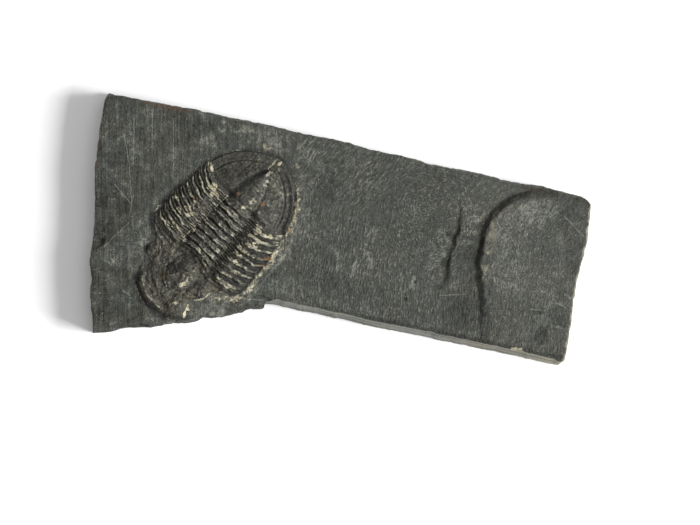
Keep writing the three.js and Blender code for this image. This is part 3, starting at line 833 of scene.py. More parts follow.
def slab_lime(x, y, body, outside, speckles):
    """Calcite on the rim of matrix, round the animal and in a few spots of the face."""
    across, along = near_curve(*body, MATRIX_RIM, 80)
    ends = smoothstep(along, 0, 0.06) * smoothstep(1 - along, 0, 0.2)
    thick = smoothstep(along, 0.0, 0.12) * smoothstep(0.62 - along, 0, 0.15)
    tail_side = smoothstep(along, 0.5, 0.62) * ends
    ridge = bell(across, 0, 0.3 + 0.2 * thick) * ends
    spread = bell(across, -0.7, 1.0) * thick
    thin = bell(across, -0.1, 0.3) * tail_side
    wash = bell(across, -0.8, 0.9) * tail_side
    seam, along_seam = near_curve(*body, CHEEK_SEAM, 40)
    seam = bell(seam, 0, 0.28) * (1 - 0.6 * along_seam)
    places = [((-18.8, 21.2), 2.4), ((-11.0, 15.4), 1.2)]
    return strongest(
        ridge * (0.6 + 0.6 * noise(x, y, 1.1, 52, 4)),
        spread * (0.52 + 0.3 * noise(x, y, 0.8, 59, 3)),
        thin * (0.95 + 0.3 * noise(x, y, 1.4, 56)),
        wash * (0.42 + 0.3 * noise(x, y, 0.8, 60, 3)),
        0.5 * bell(outside, 0.1, 0.3) * smoothstep(noise(*body, 5.0, 53), -0.1, 0.5),
        0.3 * bell(outside, 1.2, 1.4) * (body[0] > 6),
        0.9 * seam * (0.8 + 0.3 * noise(x, y, 0.9, 81)),
        patches(*body, RIGHT_TIP_LIME, ragged_dome),
        ragged_dome(x, y, (43.8, -30.4), 1.7, 1.0),
        *(0.56 * speckles * dome(x, y, at, s * 1.3, s * 0.8, -30) ** 0.4 for at, s in places),
    )


def slab_dark(x, y, body, outside, upper_gap, block_gap):
    """Painted shade in the ledges, lost layers and pits, on the upper edge and round the animal, a
    darker line on the shoulder above the sawn wall, and the dark patches.
    """
    u, v = body
    width = np.interp(y, [-25, -5, 0, 6], [0.4, 0.5, 0.8, 1.1])
    ledge = block_gap + 0.3 * noise(x, y, 1.2, 57)
    # Painted shade on the steep face of the block's ledge, which is turned from the light
    block = 0.8 * bell(ledge, width * 0.6, width)
    block = block * (0.25 * smoothstep(y, -30, -20) + 0.75 * smoothstep(y, -9, -3))
    ledge, along = near_curve(x, y, TERRACE_LEDGE, 60)
    accents = (0.8 + 0.4 * noise(x * 0.3, y, 2.6, 15, 2)) * np.sin(math.pi * along) ** 0.5
    accents = accents * (1 - 0.7 * smoothstep(along, 0.5, 0.75))
    edge = bell(outside, 0.2, 0.4)
    shoulder = np.abs(near_curve(x, y, SAWN_LOWER, 30)[0]) - SAWN_LEAN
    return strongest(
        block,
        # Painted shade on the face of the terrace's ledge
        0.8 * bell(ledge, 0, 0.5) * accents,
        # Painted shade on the bevel of the upper edge
        0.5 * smoothstep(0.45 - upper_gap, 0, 0.3),
        # Painted shadow beside the head's front and along the animal's edge away from the light
        edge * np.where((v < -20) & (u > -3), 1.5, 0.45 * (u < 3)),
        # A darker line on the shoulder above the sawn wall
        0.75 * bell(shoulder, 0.8, 0.55) * smoothstep(x, -14, 14),
        patches(x, y, DARK_PATCHES),
        # Painted shade in the pits and in the hollows of the lost layers
        *(dome(x, y, at, size, size) for at, size in PITS),
        *(shade * inside(x, y, corners, soft) for corners, _, soft, shade in LOST_LAYERS),
    )


def slab_pale(x, y, body):
    """Paler patches, brushed arcs, rings, chipped edges and the welt beside the rim, with a painted
    highlight along the welt's outer contour.
    """
    across, along = near_curve(*body, MATRIX_RIM, 80)
    welt = smoothstep(-across, -0.2, 0.4) * smoothstep(across, -2.6, -1.9)
    # The welt's outer contour is a painted highlight, for the light on its face towards the lamp
    contour = np.exp(-(((across + 2.3 + 0.5 * noise(x, y, 3, 13)) / 0.2) ** 2))
    welt = np.maximum(0.6 * welt * (0.7 + 0.8 * noise(x, y, 0.9, 58, 3)), 1.3 * contour)
    gap, chipped = broken_edge(x, y)
    pale = strongest(
        patches(x, y, PALE_PATCHES),
        1.2 * dome(*body, (11.8, -13.4), 3.8, 5.2, -20) ** 0.6,
        welt * smoothstep(along, 0, 0.1) * smoothstep(0.8 - along, 0, 0.3),
        0.9 * chipped * smoothstep(1.3 - gap, 0, 0.6),
        *brushed_arcs(x, y, 1.2, 0.45),
    )
    for at, half_x, half_y in PALE_RINGS:
        radius = np.hypot((x - at[0]) / half_x, (y - at[1]) / half_y)
        pale = strongest(pale, 1.2 * bell(radius, 0.9, 0.22), 0.4 * (radius < 0.9))
    return pale


def paint_slab(slab, sawn, count):
    """Where the slab is sawn, crusted with calcite, rusty or dusty, where it is painted darker,
    mostly with shade, and where paler, partly with a painted highlight.
    """
    x, y, z = places_of(slab)
    on_wall = np.arange(len(x)) < WALL_CELLS * count
    sawn_here = np.zeros(len(x))
    sawn_here[: (WALL_CELLS + 1) * count] = np.tile(sawn, WALL_CELLS + 1)
    body = to_body(x, y)
    outside = -near_line(*body, OUTLINE)[0]
    block = near_curve(x, y, BLOCK_LEDGE, 60)
    upper_gap = np.abs(near_curve(x, y, UPPER_SIDE, 60)[0])
    ragged = noise(x, y + 5 * z * on_wall, 1.5, 50)
    speckles = smoothstep(noise(x, y, 1.0, 51, 4), -0.25, 0.35)
    rust = slab_rust(x, y, body, outside, ragged, upper_gap, speckles)
    dust = slab_dust(x, y, ragged, upper_gap, block)

    store(slab, "sawn", sawn_here * (z > 0.3))
    store(slab, "wall", on_wall | (z < 7))
    store(slab, "lime", slab_lime(x, y, body, outside, speckles) * (z > 7.5))
    store(slab, "rust", rust * np.where(on_wall, 0.35, 1))
    store(slab, "dust", dust * np.where(on_wall, 0.5, 1))
    store(slab, "dark", slab_dark(x, y, body, outside, upper_gap, block[0]))
    store(slab, "pale", slab_pale(x, y, body))


# The head and tail shields


def closed_plate(name, u, v, height):
    """A plate whose top is a grid of places and heights, with an edge down into the shale."""
    rows, columns = u.shape
    x, y = from_body(u, v)
    z = np.minimum(BED + height, TOP_LIMIT)
    rim = rim_of(rows, columns)
    top = np.stack([x, y, z], axis=-1)
    edge = top[rim]
    foot = np.column_stack([edge[:, :2], np.full(len(edge), PLATE_FOOT)])
    number = np.arange(rows * columns).reshape(rows, columns)
    rim_numbers = number[rim]
    foot_numbers = rows * columns + np.arange(len(foot))
    faces = rows_of_quads(rows, columns).tolist()
    for k in range(len(foot)):
        after = (k + 1) % len(foot)
        faces.append((rim_numbers[k], foot_numbers[k], foot_numbers[after], rim_numbers[after]))
    faces.append(tuple(foot_numbers[::-1]))
    faces = [tuple(int(i) for i in face) for face in faces]
    return add_piece(name, np.vstack([top.reshape(-1, 3), foot]), faces, 60)


def head_height(u, v, edge_gap, front_gap):
    """Heights of the crumpled head: cheeks, glabella, eye lobes, border and back furrow."""
    full = mix(0.65, 1.05, smoothstep(u, -7, 1))
    cheek = mix(0.1, full, smoothstep(np.minimum(edge_gap, front_gap), 0, 2.8))
    front = smoothstep(-v, 17.0, 20.0)
    crest = bell(front_gap, 1.6, 0.7) * front
    ditch = bell(front_gap, 2.7, 0.6) * front
    crest = crest * smoothstep(-u, -4.8, -2.8)
    height = cheek + 0.45 * crest - 0.25 * ditch
    height += 0.55 * dome(u, v, (6.2, -20.4), 2.9, 2.7) ** 1.4

    wave = 0.8 * noise(u, v, 2.6, 60, 4)
    round_u = (u - GLABELLA[0] + wave) / GLABELLA_HALF_LENGTHS[0]
    round_v = (v - GLABELLA[1] + wave) / GLABELLA_HALF_LENGTHS[1]
    radius = np.hypot(round_u, round_v)
    height += 1.25 * np.clip(1 - radius**2.0, 0, 1) ** 0.9
    groove = bell(radius, 1.05, 0.14) * smoothstep(edge_gap, 0.3, 1.2)
    height -= groove * mix(0.08, 0.32, smoothstep(u, 0, 3))
    height -= 0.45 * dome(u, v, (-0.3, -12.4), 2.0, 3.0, -15) ** 2
    for at in GLABELLA_FURROWS:
        slant = v - at - 0.35 * (np.abs(u - 0.8) - 2.0)
        groove = bell(slant, 0, 0.3) * smoothstep(np.abs(u - 0.8), 1.2, 2.4)
        height -= 0.18 * groove * smoothstep(1.02 - radius, 0, 0.2)

    back = bell(v + 9.0 - 0.6 * np.cos(u * 0.45), 0, 0.4)
    height -= 0.35 * back * smoothstep(edge_gap, 0.2, 1.0)
    for at, turn in EYE_LOBES:
        height += 0.45 * dome(u, v, at, 1.5, 2.4, turn) ** 1.6
        height -= 0.16 * bell(dome(u, v, at, 2.1, 3.2, turn), 0.25, 0.2)
    for fold in HEAD_FOLDS:
        ridge, along = near_curve(u, v, fold, 20)
        height += 0.3 * bell(ridge + 0.3 * wave, 0, 0.3) * np.sin(math.pi * along) ** 0.3
    arc = np.hypot(u - 0.4, (v + 13.6) * 0.95)
    height -= 0.2 * bell(arc - 6.5 - wave, 0, 0.35) * smoothstep(-v, 15.5, 17.5)
    crumpled = 0.34 * noise(u, v, 2.6, 61, 4) + 0.18 * np.abs(noise(u, v, 1.2, 65, 3)) - 0.08
    smooth_cheek = dome(u, v, (7.0, -19.8), 3.2, 3.0)
    calm = smoothstep(edge_gap, 0, 0.8) * (1 - 0.8 * smooth_cheek) * (1 - 0.8 * crest)
    return height + crumpled * calm


def make_head():
    """The head shield: glabella with its furrows, eye lobes, rolled border and back limbs."""
    rows, columns = HEAD_GRID
    right, left = smooth_line(HEAD_RIGHT, 200), smooth_line(HEAD_LEFT, 200)
    level = np.linspace(HEAD_RIGHT[0][1], HEAD_BACK, rows)[:, None]
    share = np.linspace(0, 1, columns)[None, :]
    low = np.interp(level, right[:, 1], right[:, 0])
    high = np.interp(level, left[:, 1], left[:, 0])
    u = mix(low, high, share)
    fit = smoothstep((level - level.min()) / (level.max() - level.min()), 0.72, 1)
    v = level + fit * (joint_v(0, u) + 0.12 - HEAD_BACK)
    edge_gap = np.minimum(*(np.abs(near_line(u, v, side)[0]) for side in (right, left)))
    front_gap = head_front_gap(u, v)
    height = head_height(u, v, edge_gap, front_gap)
    height = mix(height, body_height(u, v) + 0.1, smoothstep(v - joint_v(0, u), -1.0, -0.2) * 0.6)
    rim = smoothstep(np.minimum(edge_gap, front_gap), 0, 0.25)
    return closed_plate("head_shield_shell", u, v, mix(-0.15, height, rim))


def make_tail():
    """The tail shield: tapering axis, faint rings and ribs, and a flat hollowed border."""
    rows, columns = TAIL_GRID
    share = np.linspace(-1, 1, columns)[None, :]
    t = np.linspace(0, 1, rows)[:, None]
    s = 0.995 * np.sin(0.5 * math.pi * share)
    u = TAIL_CENTRE[0] + s * TAIL_HALF_WIDTH
    front = joint_v(SEGMENTS, u) - 0.1
    edge_v = np.maximum(tail_edge_v(u), front + 0.02)
    v = mix(front, edge_v, t**0.85)
    u = u + 0 * v
    edge = np.column_stack([u[0], edge_v[0]])
    edge_gap = np.abs(near_line(u, v, edge[::2])[0])
    along = np.clip((v - TAIL_AXIS_FRONT) / TAIL_AXIS_LENGTH, 0, 1)
    half = TAIL_AXIS_HALF_WIDTH * (1 - along**TAIL_AXIS_POWER)
    across = np.abs(u - axis_x(v) + 0.25 * along)
    field = mix(0.45, 1.8, smoothstep(edge_gap, TAIL_BORDER, 9.0) ** 0.8)
    border = 0.3 + 0.15 * smoothstep(edge_gap, 0, 0.5)
    border = border - 0.24 * bell(edge_gap, 1.2, 0.75)
    height = mix(border, field, smoothstep(edge_gap, TAIL_BORDER, 2.8))
    height -= 0.22 * bell(edge_gap, 2.45, 0.22)
    height -= 0.12 * bell(edge_gap, 3.3, 0.25)
    crest = mix(AXIS_HEIGHT, 1.7, along**1.4)
    lobe = np.clip(1 - (across / np.maximum(half, 0.01)) ** 1.5, 0, 1)
    height = np.where(across < half, np.maximum(height, mix(height - 0.2, crest, lobe)), height)
    height -= 0.24 * bell(across - half - 0.1, 0, 0.45) * (along < 1)
    rings = np.sin((v - TAIL_RING_START) * 2 * math.pi / TAIL_RING_STEP)
    height += 0.05 * rings * lobe * (1 - along)
    ribs = np.sin((v - TAIL_RING_START - 0.35 * np.abs(u)) * 2 * math.pi / TAIL_RIB_STEP)
    height += 0.03 * ribs * smoothstep(edge_gap, 3, 5) * (across > half)
    height -= 0.15 * bell(tail_crack_gap(u, v, 0.15), 0, 0.2) * smoothstep(v, 20.5, 21.5)
    mottled = 0.13 * noise(u, v, 1.7, 63, 4) + 0.12 * noise(u, v, 8, 64)
    pits = smoothstep(noise(u, v, 0.9, 66, 2), 0.55, 0.85) * smoothstep(edge_gap, 1.5, 3.0)
    height += mottled - 0.14 * pits
    near_joint = 1 - smoothstep(v - front, 0.2, 2.2)
    height = mix(height, body_height(u, v) - 0.15, near_joint * 0.8)
    height -= 0.25 * bell(v - front - 0.9, 0, 0.35)
    rim = smoothstep(edge_gap, 0, 0.25)
    return closed_plate("tail_shield_shell", u, v, mix(-0.15, height, rim))


# Node trees


class Wire:
    """A node's output. Arithmetic on it adds Math nodes to its tree."""

    def __init__(self, tree, socket):
        self.tree = tree
        self.socket = socket

    def math(self, operation, *others, clamp=False):
        node = add_node(self.tree, "ShaderNodeMath", operation=operation, use_clamp=clamp)
        for socket, value in zip(node.inputs, (self, *others)):
            feed(self.tree, socket, value)
        return Wire(self.tree, node.outputs[0])

    def vector(self, operation, *others, output=0):
        node = add_node(self.tree, "ShaderNodeVectorMath", operation=operation)
        for socket, value in zip(node.inputs, (self, *others)):
            feed(self.tree, socket, value)
        return Wire(self.tree, node.outputs[output])

    def scaled(self, factor):
        node = add_node(self.tree, "ShaderNodeVectorMath", operation="SCALE")
        feed(self.tree, node.inputs[0], self)
        feed(self.tree, node.inputs["Scale"], factor)
        return Wire(self.tree, node.outputs[0])

    def __add__(self, other):
        return self.math("ADD", other)

    __radd__ = __add__

    def __sub__(self, other):
        return self.math("SUBTRACT", other)

    def __rsub__(self, other):
        return (self * -1.0).math("ADD", other)

    def __mul__(self, other):
        return self.math("MULTIPLY", other)

    __rmul__ = __mul__

    def __truediv__(self, other):
        return self.math("DIVIDE", other)

    def __pow__(self, other):
        return self.math("POWER", other)

    def clamp(self):
        return self.math("ADD", 0.0, clamp=True)

    def absolute(self):
        return self.math("ABSOLUTE")

    def above(self, level):
        return self.math("GREATER_THAN", level)

    def ramp(self, low, high):
        """0 below low, 1 above high and a smooth rise between."""
        node = add_node(self.tree, "ShaderNodeMapRange", interpolation_type="SMOOTHSTEP")
        feed(self.tree, node.inputs["Value"], self)
        feed(self.tree, node.inputs["From Min"], low)
        feed(self.tree, node.inputs["From Max"], high)
        return Wire(self.tree, node.outputs[0])

    def parts(self):
        node = add_node(self.tree, "ShaderNodeSeparateXYZ")
        feed(self.tree, node.inputs[0], self)
        return [Wire(self.tree, output) for output in node.outputs]


def add_node(tree, kind, **settings):
    node = tree.nodes.new(kind)
    for name, value in settings.items():
        setattr(node, name, value)
    return node


def feed(tree, socket, value):
    """Links a wire to a socket, or sets the socket to a plain value."""
    if isinstance(value, Wire):
        tree.links.new(value.socket, socket)
    else:
        socket.default_value = value


def output_of(tree, kind, inputs, output=0, **settings):
    """One output of a new node, with its inputs fed by name."""
    node = add_node(tree, kind, **settings)
    for name, value in inputs.items():
        feed(tree, node.inputs[name], value)
    return Wire(tree, node.outputs[output])


def blend_wires(a, b, share):
    return share * (b - a) + a


def joined(tree, x, y, z):
    return output_of(tree, "ShaderNodeCombineXYZ", {"X": x, "Y": y, "Z": z})


def plain_noise(tree, x, y, z, detail, roughness=0.5):
    """Noise at a place given by its three parts, in a tree that works in millimetres."""
    inputs = {"Vector": joined(tree, x, y, z), "Scale": 1.0, "Detail": detail, "Roughness": roughness}
    return output_of(tree, "ShaderNodeTexNoise", inputs)


def new_group(name, kind, inputs, outputs):
    """A node group, wires for its named inputs and the node that takes its outputs."""
    tree = bpy.data.node_groups.new(name, kind)
    for label, (socket_type, default) in inputs.items():
        socket = tree.interface.new_socket(label, in_out="INPUT", socket_type=socket_type)
        if default is not None:
            socket.default_value = default
    for label, socket_type in outputs.items():
        tree.interface.new_socket(label, in_out="OUTPUT", socket_type=socket_type)
    entry = tree.nodes.new("NodeGroupInput")
    wires = {label: Wire(tree, entry.outputs[label]) for label in inputs}
    return tree, wires, tree.nodes.new("NodeGroupOutput")


def use_group(tree, group, inputs, kind="ShaderNodeGroup"):
    """A group placed in a tree: its outputs by name."""
    node = add_node(tree, kind, node_tree=group)
    for name, value in inputs.items():
        feed(tree, node.inputs[name], value)
    return {output.name: Wire(tree, output) for output in node.outputs}


FLOAT, VECTOR, MESH = "NodeSocketFloat", "NodeSocketVector", "NodeSocketGeometry"


# The thorax, grown by one tree that is told which segment to make


def finish_tree(tree, result, geometry_wire, material):
    """Makes every instance real, sets the material and hands over the geometry."""
    plain = output_of(tree, "GeometryNodeRealizeInstances", {"Geometry": geometry_wire})
    inputs = {"Geometry": plain, "Material": material}
    finished = output_of(tree, "GeometryNodeSetMaterial", inputs)
    feed(tree, result.inputs["Geometry"], finished)


def profile(tree, share, points):
    """A curve through given points, read at share."""
    node = add_node(tree, "ShaderNodeFloatCurve")
    curve = node.mapping.curves[0]
    for at in points[1:-1]:
        curve.points.new(*at)
    for end, at in ((0, points[0]), (len(curve.points) - 1, points[-1])):
        curve.points[end].location = at
    node.mapping.update()
    feed(tree, node.inputs["Value"], share)
    return Wire(tree, node.outputs[0])


def joint_group():
    """Where the joint before a segment lies, across the body."""
    inputs = {"Joint": (FLOAT, 0.0), "Across": (FLOAT, 0.0)}
    tree, given, result = new_group("Joint line", "GeometryNodeTree", inputs, {"Along": FLOAT})
    share = given["Joint"] / SEGMENTS
    along = blend_wires(THORAX_FRONT, THORAX_BACK, share)
    from_axis = (given["Across"] - axis_x(along)).absolute()
    outer = ((from_axis - FULCRUM) / (body_half_width(along) - FULCRUM)).clamp()
    sweep = (share * SWEEP_GAIN + SWEEP) * outer**1.5
    middle = (1.0 - (from_axis / BOW_HALF_WIDTH) ** 2.0).clamp()
    bow = middle * BOW / (given["Joint"] * given["Joint"] + 1.0)
    wobble = plain_noise(tree, given["Across"] * 0.22, given["Joint"] * 7.3, 0.0, 2.0)
    feed(tree, result.inputs["Along"], along + sweep + bow + (wobble - 0.5) * 0.9)
    return tree


def segment_group():
    """One segment of the thorax: an axial ring between two side lobes, each with a furrow."""
    inputs = {
        "Segment": (FLOAT, 0.0),
        "Ring relief": (FLOAT, 0.5),
        "Lobe relief": (FLOAT, 0.36),
        "Wander": (FLOAT, 0.75),
        "Crumple": (FLOAT, 0.5),
        "Overlap": (FLOAT, 0.14),
        "Tip taper": (FLOAT, 0.5),
        "Seam depth": (FLOAT, 0.12),
    }
    tree, given, result = new_group("Thorax segment", "GeometryNodeTree", inputs, {"Geometry": MESH})
    block = add_node(tree, "GeometryNodeMeshCube")
    block.inputs["Size"].default_value = (1.0, 1.0, 1.0)
    for axis, count in zip("XYZ", SEGMENT_POINTS):
        block.inputs[f"Vertices {axis}"].default_value = count
    place = output_of(tree, "GeometryNodeInputPosition", {})
    px, py, pz = place.parts()
    across = px * 2.0
    t = py + 0.5

    middle = (given["Segment"] + 0.5) / SEGMENTS * (THORAX_BACK - THORAX_FRONT) + THORAX_FRONT
    axis, ring_half, half = axis_x(middle), axis_half_width(middle), body_half_width(middle)
    tip = ((across.absolute() - 0.8) / 0.2).clamp()
    x = axis + across * (half - tip * (t * 2.0 - 1.0).absolute() * 0.3)

    joint = joint_group()
    front, back = (
        use_group(tree, joint, {"Joint": number, "Across": x}, "GeometryNodeGroup")["Along"]
        for number in (given["Segment"], given["Segment"] + 1.0)
    )
    reach = given["Overlap"]
    narrow = blend_wires(t, blend_wires(given["Tip taper"], 1.0, t), tip * tip)
    y = blend_wires(front - reach, back + reach * 0.3, narrow)

    from_axis = (x - axis).absolute()
    left = (x - axis).ramp(-1.0, 1.0)
    furrow = blend_wires(RIGHT_FURROW, LEFT_FURROW, left)
    fulcrum = blend_wires(RIGHT_FULCRUM, LEFT_FULCRUM, left)
    arch = (1.0 - (from_axis / ring_half) ** 2.0).clamp() ** blend_wires(RIGHT_ARCH, LEFT_ARCH, left)
    ring = blend_wires(furrow, AXIS_HEIGHT, arch)
    rise = from_axis.ramp(ring_half, FULCRUM)
    outer = ((from_axis - FULCRUM) / (half - FULCRUM)).clamp()
    lobe = blend_wires(furrow, fulcrum, rise) - outer**1.5 * (fulcrum - RIM_HEIGHT)
    on_axis = 1.0 - from_axis.ramp(ring_half - 0.5, ring_half)
    height = blend_wires(lobe, ring, on_axis)
    wander = plain_noise(tree, x * 0.6, y * 0.35, given["Segment"] * 5.1, 3.0)
    t = (t + (wander - 0.5) * given["Wander"]).clamp()
    uneven = plain_noise(tree, x * 0.55, given["Segment"] * 3.7, 4.0, 3.0)
    uneven = uneven.ramp(0.25, 0.6) * 0.9 + 0.35

    ring_shape, fine, bold, fat = (profile(tree, t, points) for points in RELIEF_CURVES)
    to_tips = from_axis.ramp(4.8, 9.0)
    lobe_shape = blend_wires(fine, blend_wires(bold, fat, left), to_tips)
    ring_relief = (ring_shape - 0.5) * given["Ring relief"] * 1.6
    lobe_relief = (lobe_shape - 0.5) * given["Lobe relief"] * (to_tips * 0.6 + 1.4)
    relief = blend_wires(lobe_relief, ring_relief, on_axis) * uneven * (1.0 - tip * 0.5)
    rough = plain_noise(tree, x * 0.7, y * 0.9, 0.0, 5.0, 0.68)
    crumple = (rough - 0.5) * given["Crumple"] * (on_axis * 0.8 + 0.8)
    seam = ((x - axis - 0.1).absolute() / -0.14).math("EXPONENT")
    height = height + relief + crumple - seam * given["Seam depth"]
    height = blend_wires(height, -0.1, tip**6.0)
    top = blend_wires(PLATE_FOOT, (height + BED).math("MINIMUM", TOP_LIMIT), pz.above(0.0))

    shaped = output_of(
        tree, "GeometryNodeSetPosition",
        {"Geometry": Wire(tree, block.outputs["Mesh"]), "Position": joined(tree, x, y, top)},
    )
    turned = output_of(
        tree, "GeometryNodeTransform",
        {
            "Geometry": shaped,
            "Translation": (BODY_PLACE[0] * MM, BODY_PLACE[1] * MM, 0.0),
            "Rotation": (0.0, 0.0, BODY_TURN),
            "Scale": (MM, MM, MM),
        },
    )
    finish_tree(tree, result, turned, SHELL)
    return tree


def grow(name, tree, values, start=None):
    """Runs a geometry tree with the given inputs and keeps its result as a plain mesh."""
    maker = add_object(name + "_maker", start or bpy.data.meshes.new(name))
    modifier = maker.modifiers.new("Grow", "NODES")
    modifier.node_group = tree
    for socket in tree.interface.items_tree:
        if socket.item_type == "SOCKET" and socket.name in values:
            modifier[socket.identifier] = values[socket.name]
    grown = maker.evaluated_get(bpy.context.evaluated_depsgraph_get())
    mesh = bpy.data.meshes.new_from_object(grown)
    bpy.data.objects.remove(maker)
    mesh.name = name
    return add_object(name, mesh)


def shaded_places(u, v, edge_gap):
    """Where the head and tail are painted dark: painted shade on the tail axis's flank away from the
    light, on the tail's shaded margin, in its border hollow, groove and pits, and in the head's
    hollows, dent, eye shadow and front band, with darker patches and a darker field on the tail's
    right side.
    """
    right = 0.35 * smoothstep(-u, -1, 2) * smoothstep(edge_gap, 2.5, 5.0)
    band = 0.9 * bell(edge_gap, 1.0, 0.8) * mix(0.5, 1.0, smoothstep(u, 0, 4))
    pits = 0.9 * smoothstep(noise(u, v, 0.9, 66, 2), 0.4, 0.8) * smoothstep(edge_gap, 1.5, 3.0)
    tail = strongest(
        # Painted shade on the flank of the tail's axis away from the light
        bell(u - axis_x(v) + 2.7 - 0.17 * (v - 12), 0, 1.2) * (v < 21.5),
        right,
        # Painted shade on the margin turned from the light and in the border's groove
        0.9 * bell(edge_gap, 0.3, 0.25) * smoothstep(-u, 1, 4),
        0.9 * bell(edge_gap, 2.5, 0.24),
        # Painted shade in the border's hollow and in the pits
        band,
        pits,
        0.9 * ragged_dome(u, v, (4.3, 13.2), 2.2, 1.6, -30) ** 0.7,
        0.5 * smoothstep(noise(u, v, 2.4, 79, 3), 0.1, 0.7),
    )
    head = strongest(
        # Painted shade in the dent of the glabella
        0.9 * ragged_dome(u, v, (-1.0, -12.0), 1.4, 3.2, -35) ** 0.6,
        patches(u, v, HEAD_HOLLOWS, ragged_dome),
        # Painted shade on the head's front band, whose face is turned from the light
        smoothstep(1.15 - head_front_gap(u, v), 0, 0.4) * (v < -18),
    )
    return np.maximum(tail * (v > joint_v(SEGMENTS, u)), head * (v < joint_v(0, u)))


def pale_and_lit_places(u, v, edge_gap):
    """Where the head and tail are painted pale: painted highlight on the tail axis's flank towards
    the light, on the stripe of the head's border and on the glabella's lit flank, with paler patches,
    fold lines and a paler field on the tail's left side.
    """
    patchy = 0.5 + 0.7 * noise(u, v, 0.6, 78, 3)
    flank = bell(u - axis_x(v) - 1.7 + 0.13 * (v - 12), 0, 1.2) * (v < 21.5)
    tail = strongest(
        # Painted highlight on the flank of the tail's axis towards the light
        1.7 * flank * (0.65 + 0.25 * np.cos(v * 2 * math.pi / 1.1)),
        0.4 * smoothstep(u, 2, 5) * smoothstep(edge_gap, 2.5, 4.0),
        0.7 * dome(u, v, (5.4, 19.4), 3.6, 2.6, -40),
    )
    front_gap = head_front_gap(u, v)
    # Painted highlight on the stripe of the head's border, which faces the light
    stripe = bell(front_gap, 1.8, 0.65) * (0.65 + 0.35 * np.cos(front_gap * 7))
    stripe = stripe * smoothstep(-v, 18.5, 20.5) * smoothstep(-u, -4.2, -3.2)
    ridges = [0.7 * bell(near_curve(u, v, fold, 20)[0], 0, 0.22) for fold in HEAD_FOLDS]
    head = strongest(stripe, patches(u, v, HEAD_PALE_AND_LIT, ragged_dome), *ridges)
    tail = tail * patchy * (v > joint_v(SEGMENTS, u))
    return np.maximum(tail, head * patchy * (v < joint_v(0, u)))


def shell_lime(u, v, outside, crest):
    """Calcite in spots, along the worn ribs, at the margin, in the crack and in the furrows."""
    lime = np.clip(spots(u, v, LIME_SPOTS) * (1.3 + 1.3 * noise(u, v, 0.9, 70)), 0, 1)
    left_ribs = smoothstep(u, 5.0, 6.2) * smoothstep(-u, -11.6, -10.4)
    margin = bell(outside, -0.2, 0.3) * smoothstep(noise(u, v, 4, 71), -0.2, 0.4)
    cheek = bell(outside, -0.25, 0.25) * ((v < -10) & (v > -15.5) & (u > 6))
    crack = bell(tail_crack_gap(u, v, 0.25), 0, 0.35) * smoothstep(v, 20.6, 21.3)
    side = np.abs(u - axis_x(v)) - axis_half_width(v)
    furrow = bell(side, 0, 0.16) * ((v > -7) & (v < 9.6)) * np.where(u < axis_x(v), 1, 0.6)
    return strongest(
        lime,
        left_ribs * crest * (0.4 + 0.7 * noise(u, v, 1.5, 75)),
        smoothstep(-u, 4.0, 9.0) * crest * (0.12 + 0.6 * noise(u, v, 1.6, 76)),
        0.4 * margin * smoothstep(u, 2, 8),
        cheek * (0.8 + 0.35 * noise(u, v, 0.9, 80)),
        0.7 * crack,
        furrow * (0.75 + 0.3 * noise(u, v, 1.4, 77)),
    )


def paint_shell(piece):
    """Where a plate carries calcite and rust, is brown, is painted pale with highlights on its
    crests, or is painted dark with shade in its hollows.
    """
    x, y, z = places_of(piece)
    u, v = to_body(x, y)
    outside = -near_line(u, v, OUTLINE)[0]
    plain = body_height(u, v) + BED
    on_thorax = (v > joint_v(0, u)) & (v < joint_v(SEGMENTS, u))
    # The thorax's raised crests, which get a painted highlight
    crest = smoothstep((z - plain) / 0.3, 0.0, 0.9) * on_thorax
    store(piece, "lime", shell_lime(u, v, outside, crest))
    rust = spots(u, v, RUST_SPOTS) * (1.1 + 1.2 * noise(u, v, 0.9, 72))
    store(piece, "rust", rust)
    store(piece, "brown", smoothstep(-v, 3, 10) * (0.6 + 0.4 * noise(u, v, 3, 73)))
    quiet = 1 - 0.7 * smoothstep(u, 3.6, 4.2) * smoothstep(-u, -6.6, -5.6)
    crest = crest * quiet * (0.6 + 0.5 * noise(u, v, 1.0, 74))
    store(piece, "crest", np.maximum(crest, pale_and_lit_places(u, v, -outside)))
    # Painted shade in the thorax's hollows and in the gaps between its tips on the animal's left
    hollow = smoothstep((plain - z) / 0.35, 0.1, 0.9) * on_thorax
    tips = smoothstep((plain + 0.08 - z) / 0.16, 0, 1) * on_thorax * smoothstep(u, 8.0, 11.0)
    store(piece, "dark", strongest(hollow, tips, shaded_places(u, v, -outside)))


# Crumbs of calcite


def random_wire(tree, kind, low, high, seed):
    """A random number or vector between two limits, another for each crumb."""
    node = add_node(tree, "FunctionNodeRandomValue", data_type=kind)
    first = 0 if kind == "FLOAT_VECTOR" else 2
    feed(tree, node.inputs[first], low)
    feed(tree, node.inputs[first + 1], high)
    node.inputs["Seed"].default_value = seed
    return Wire(tree, node.outputs[first // 2])


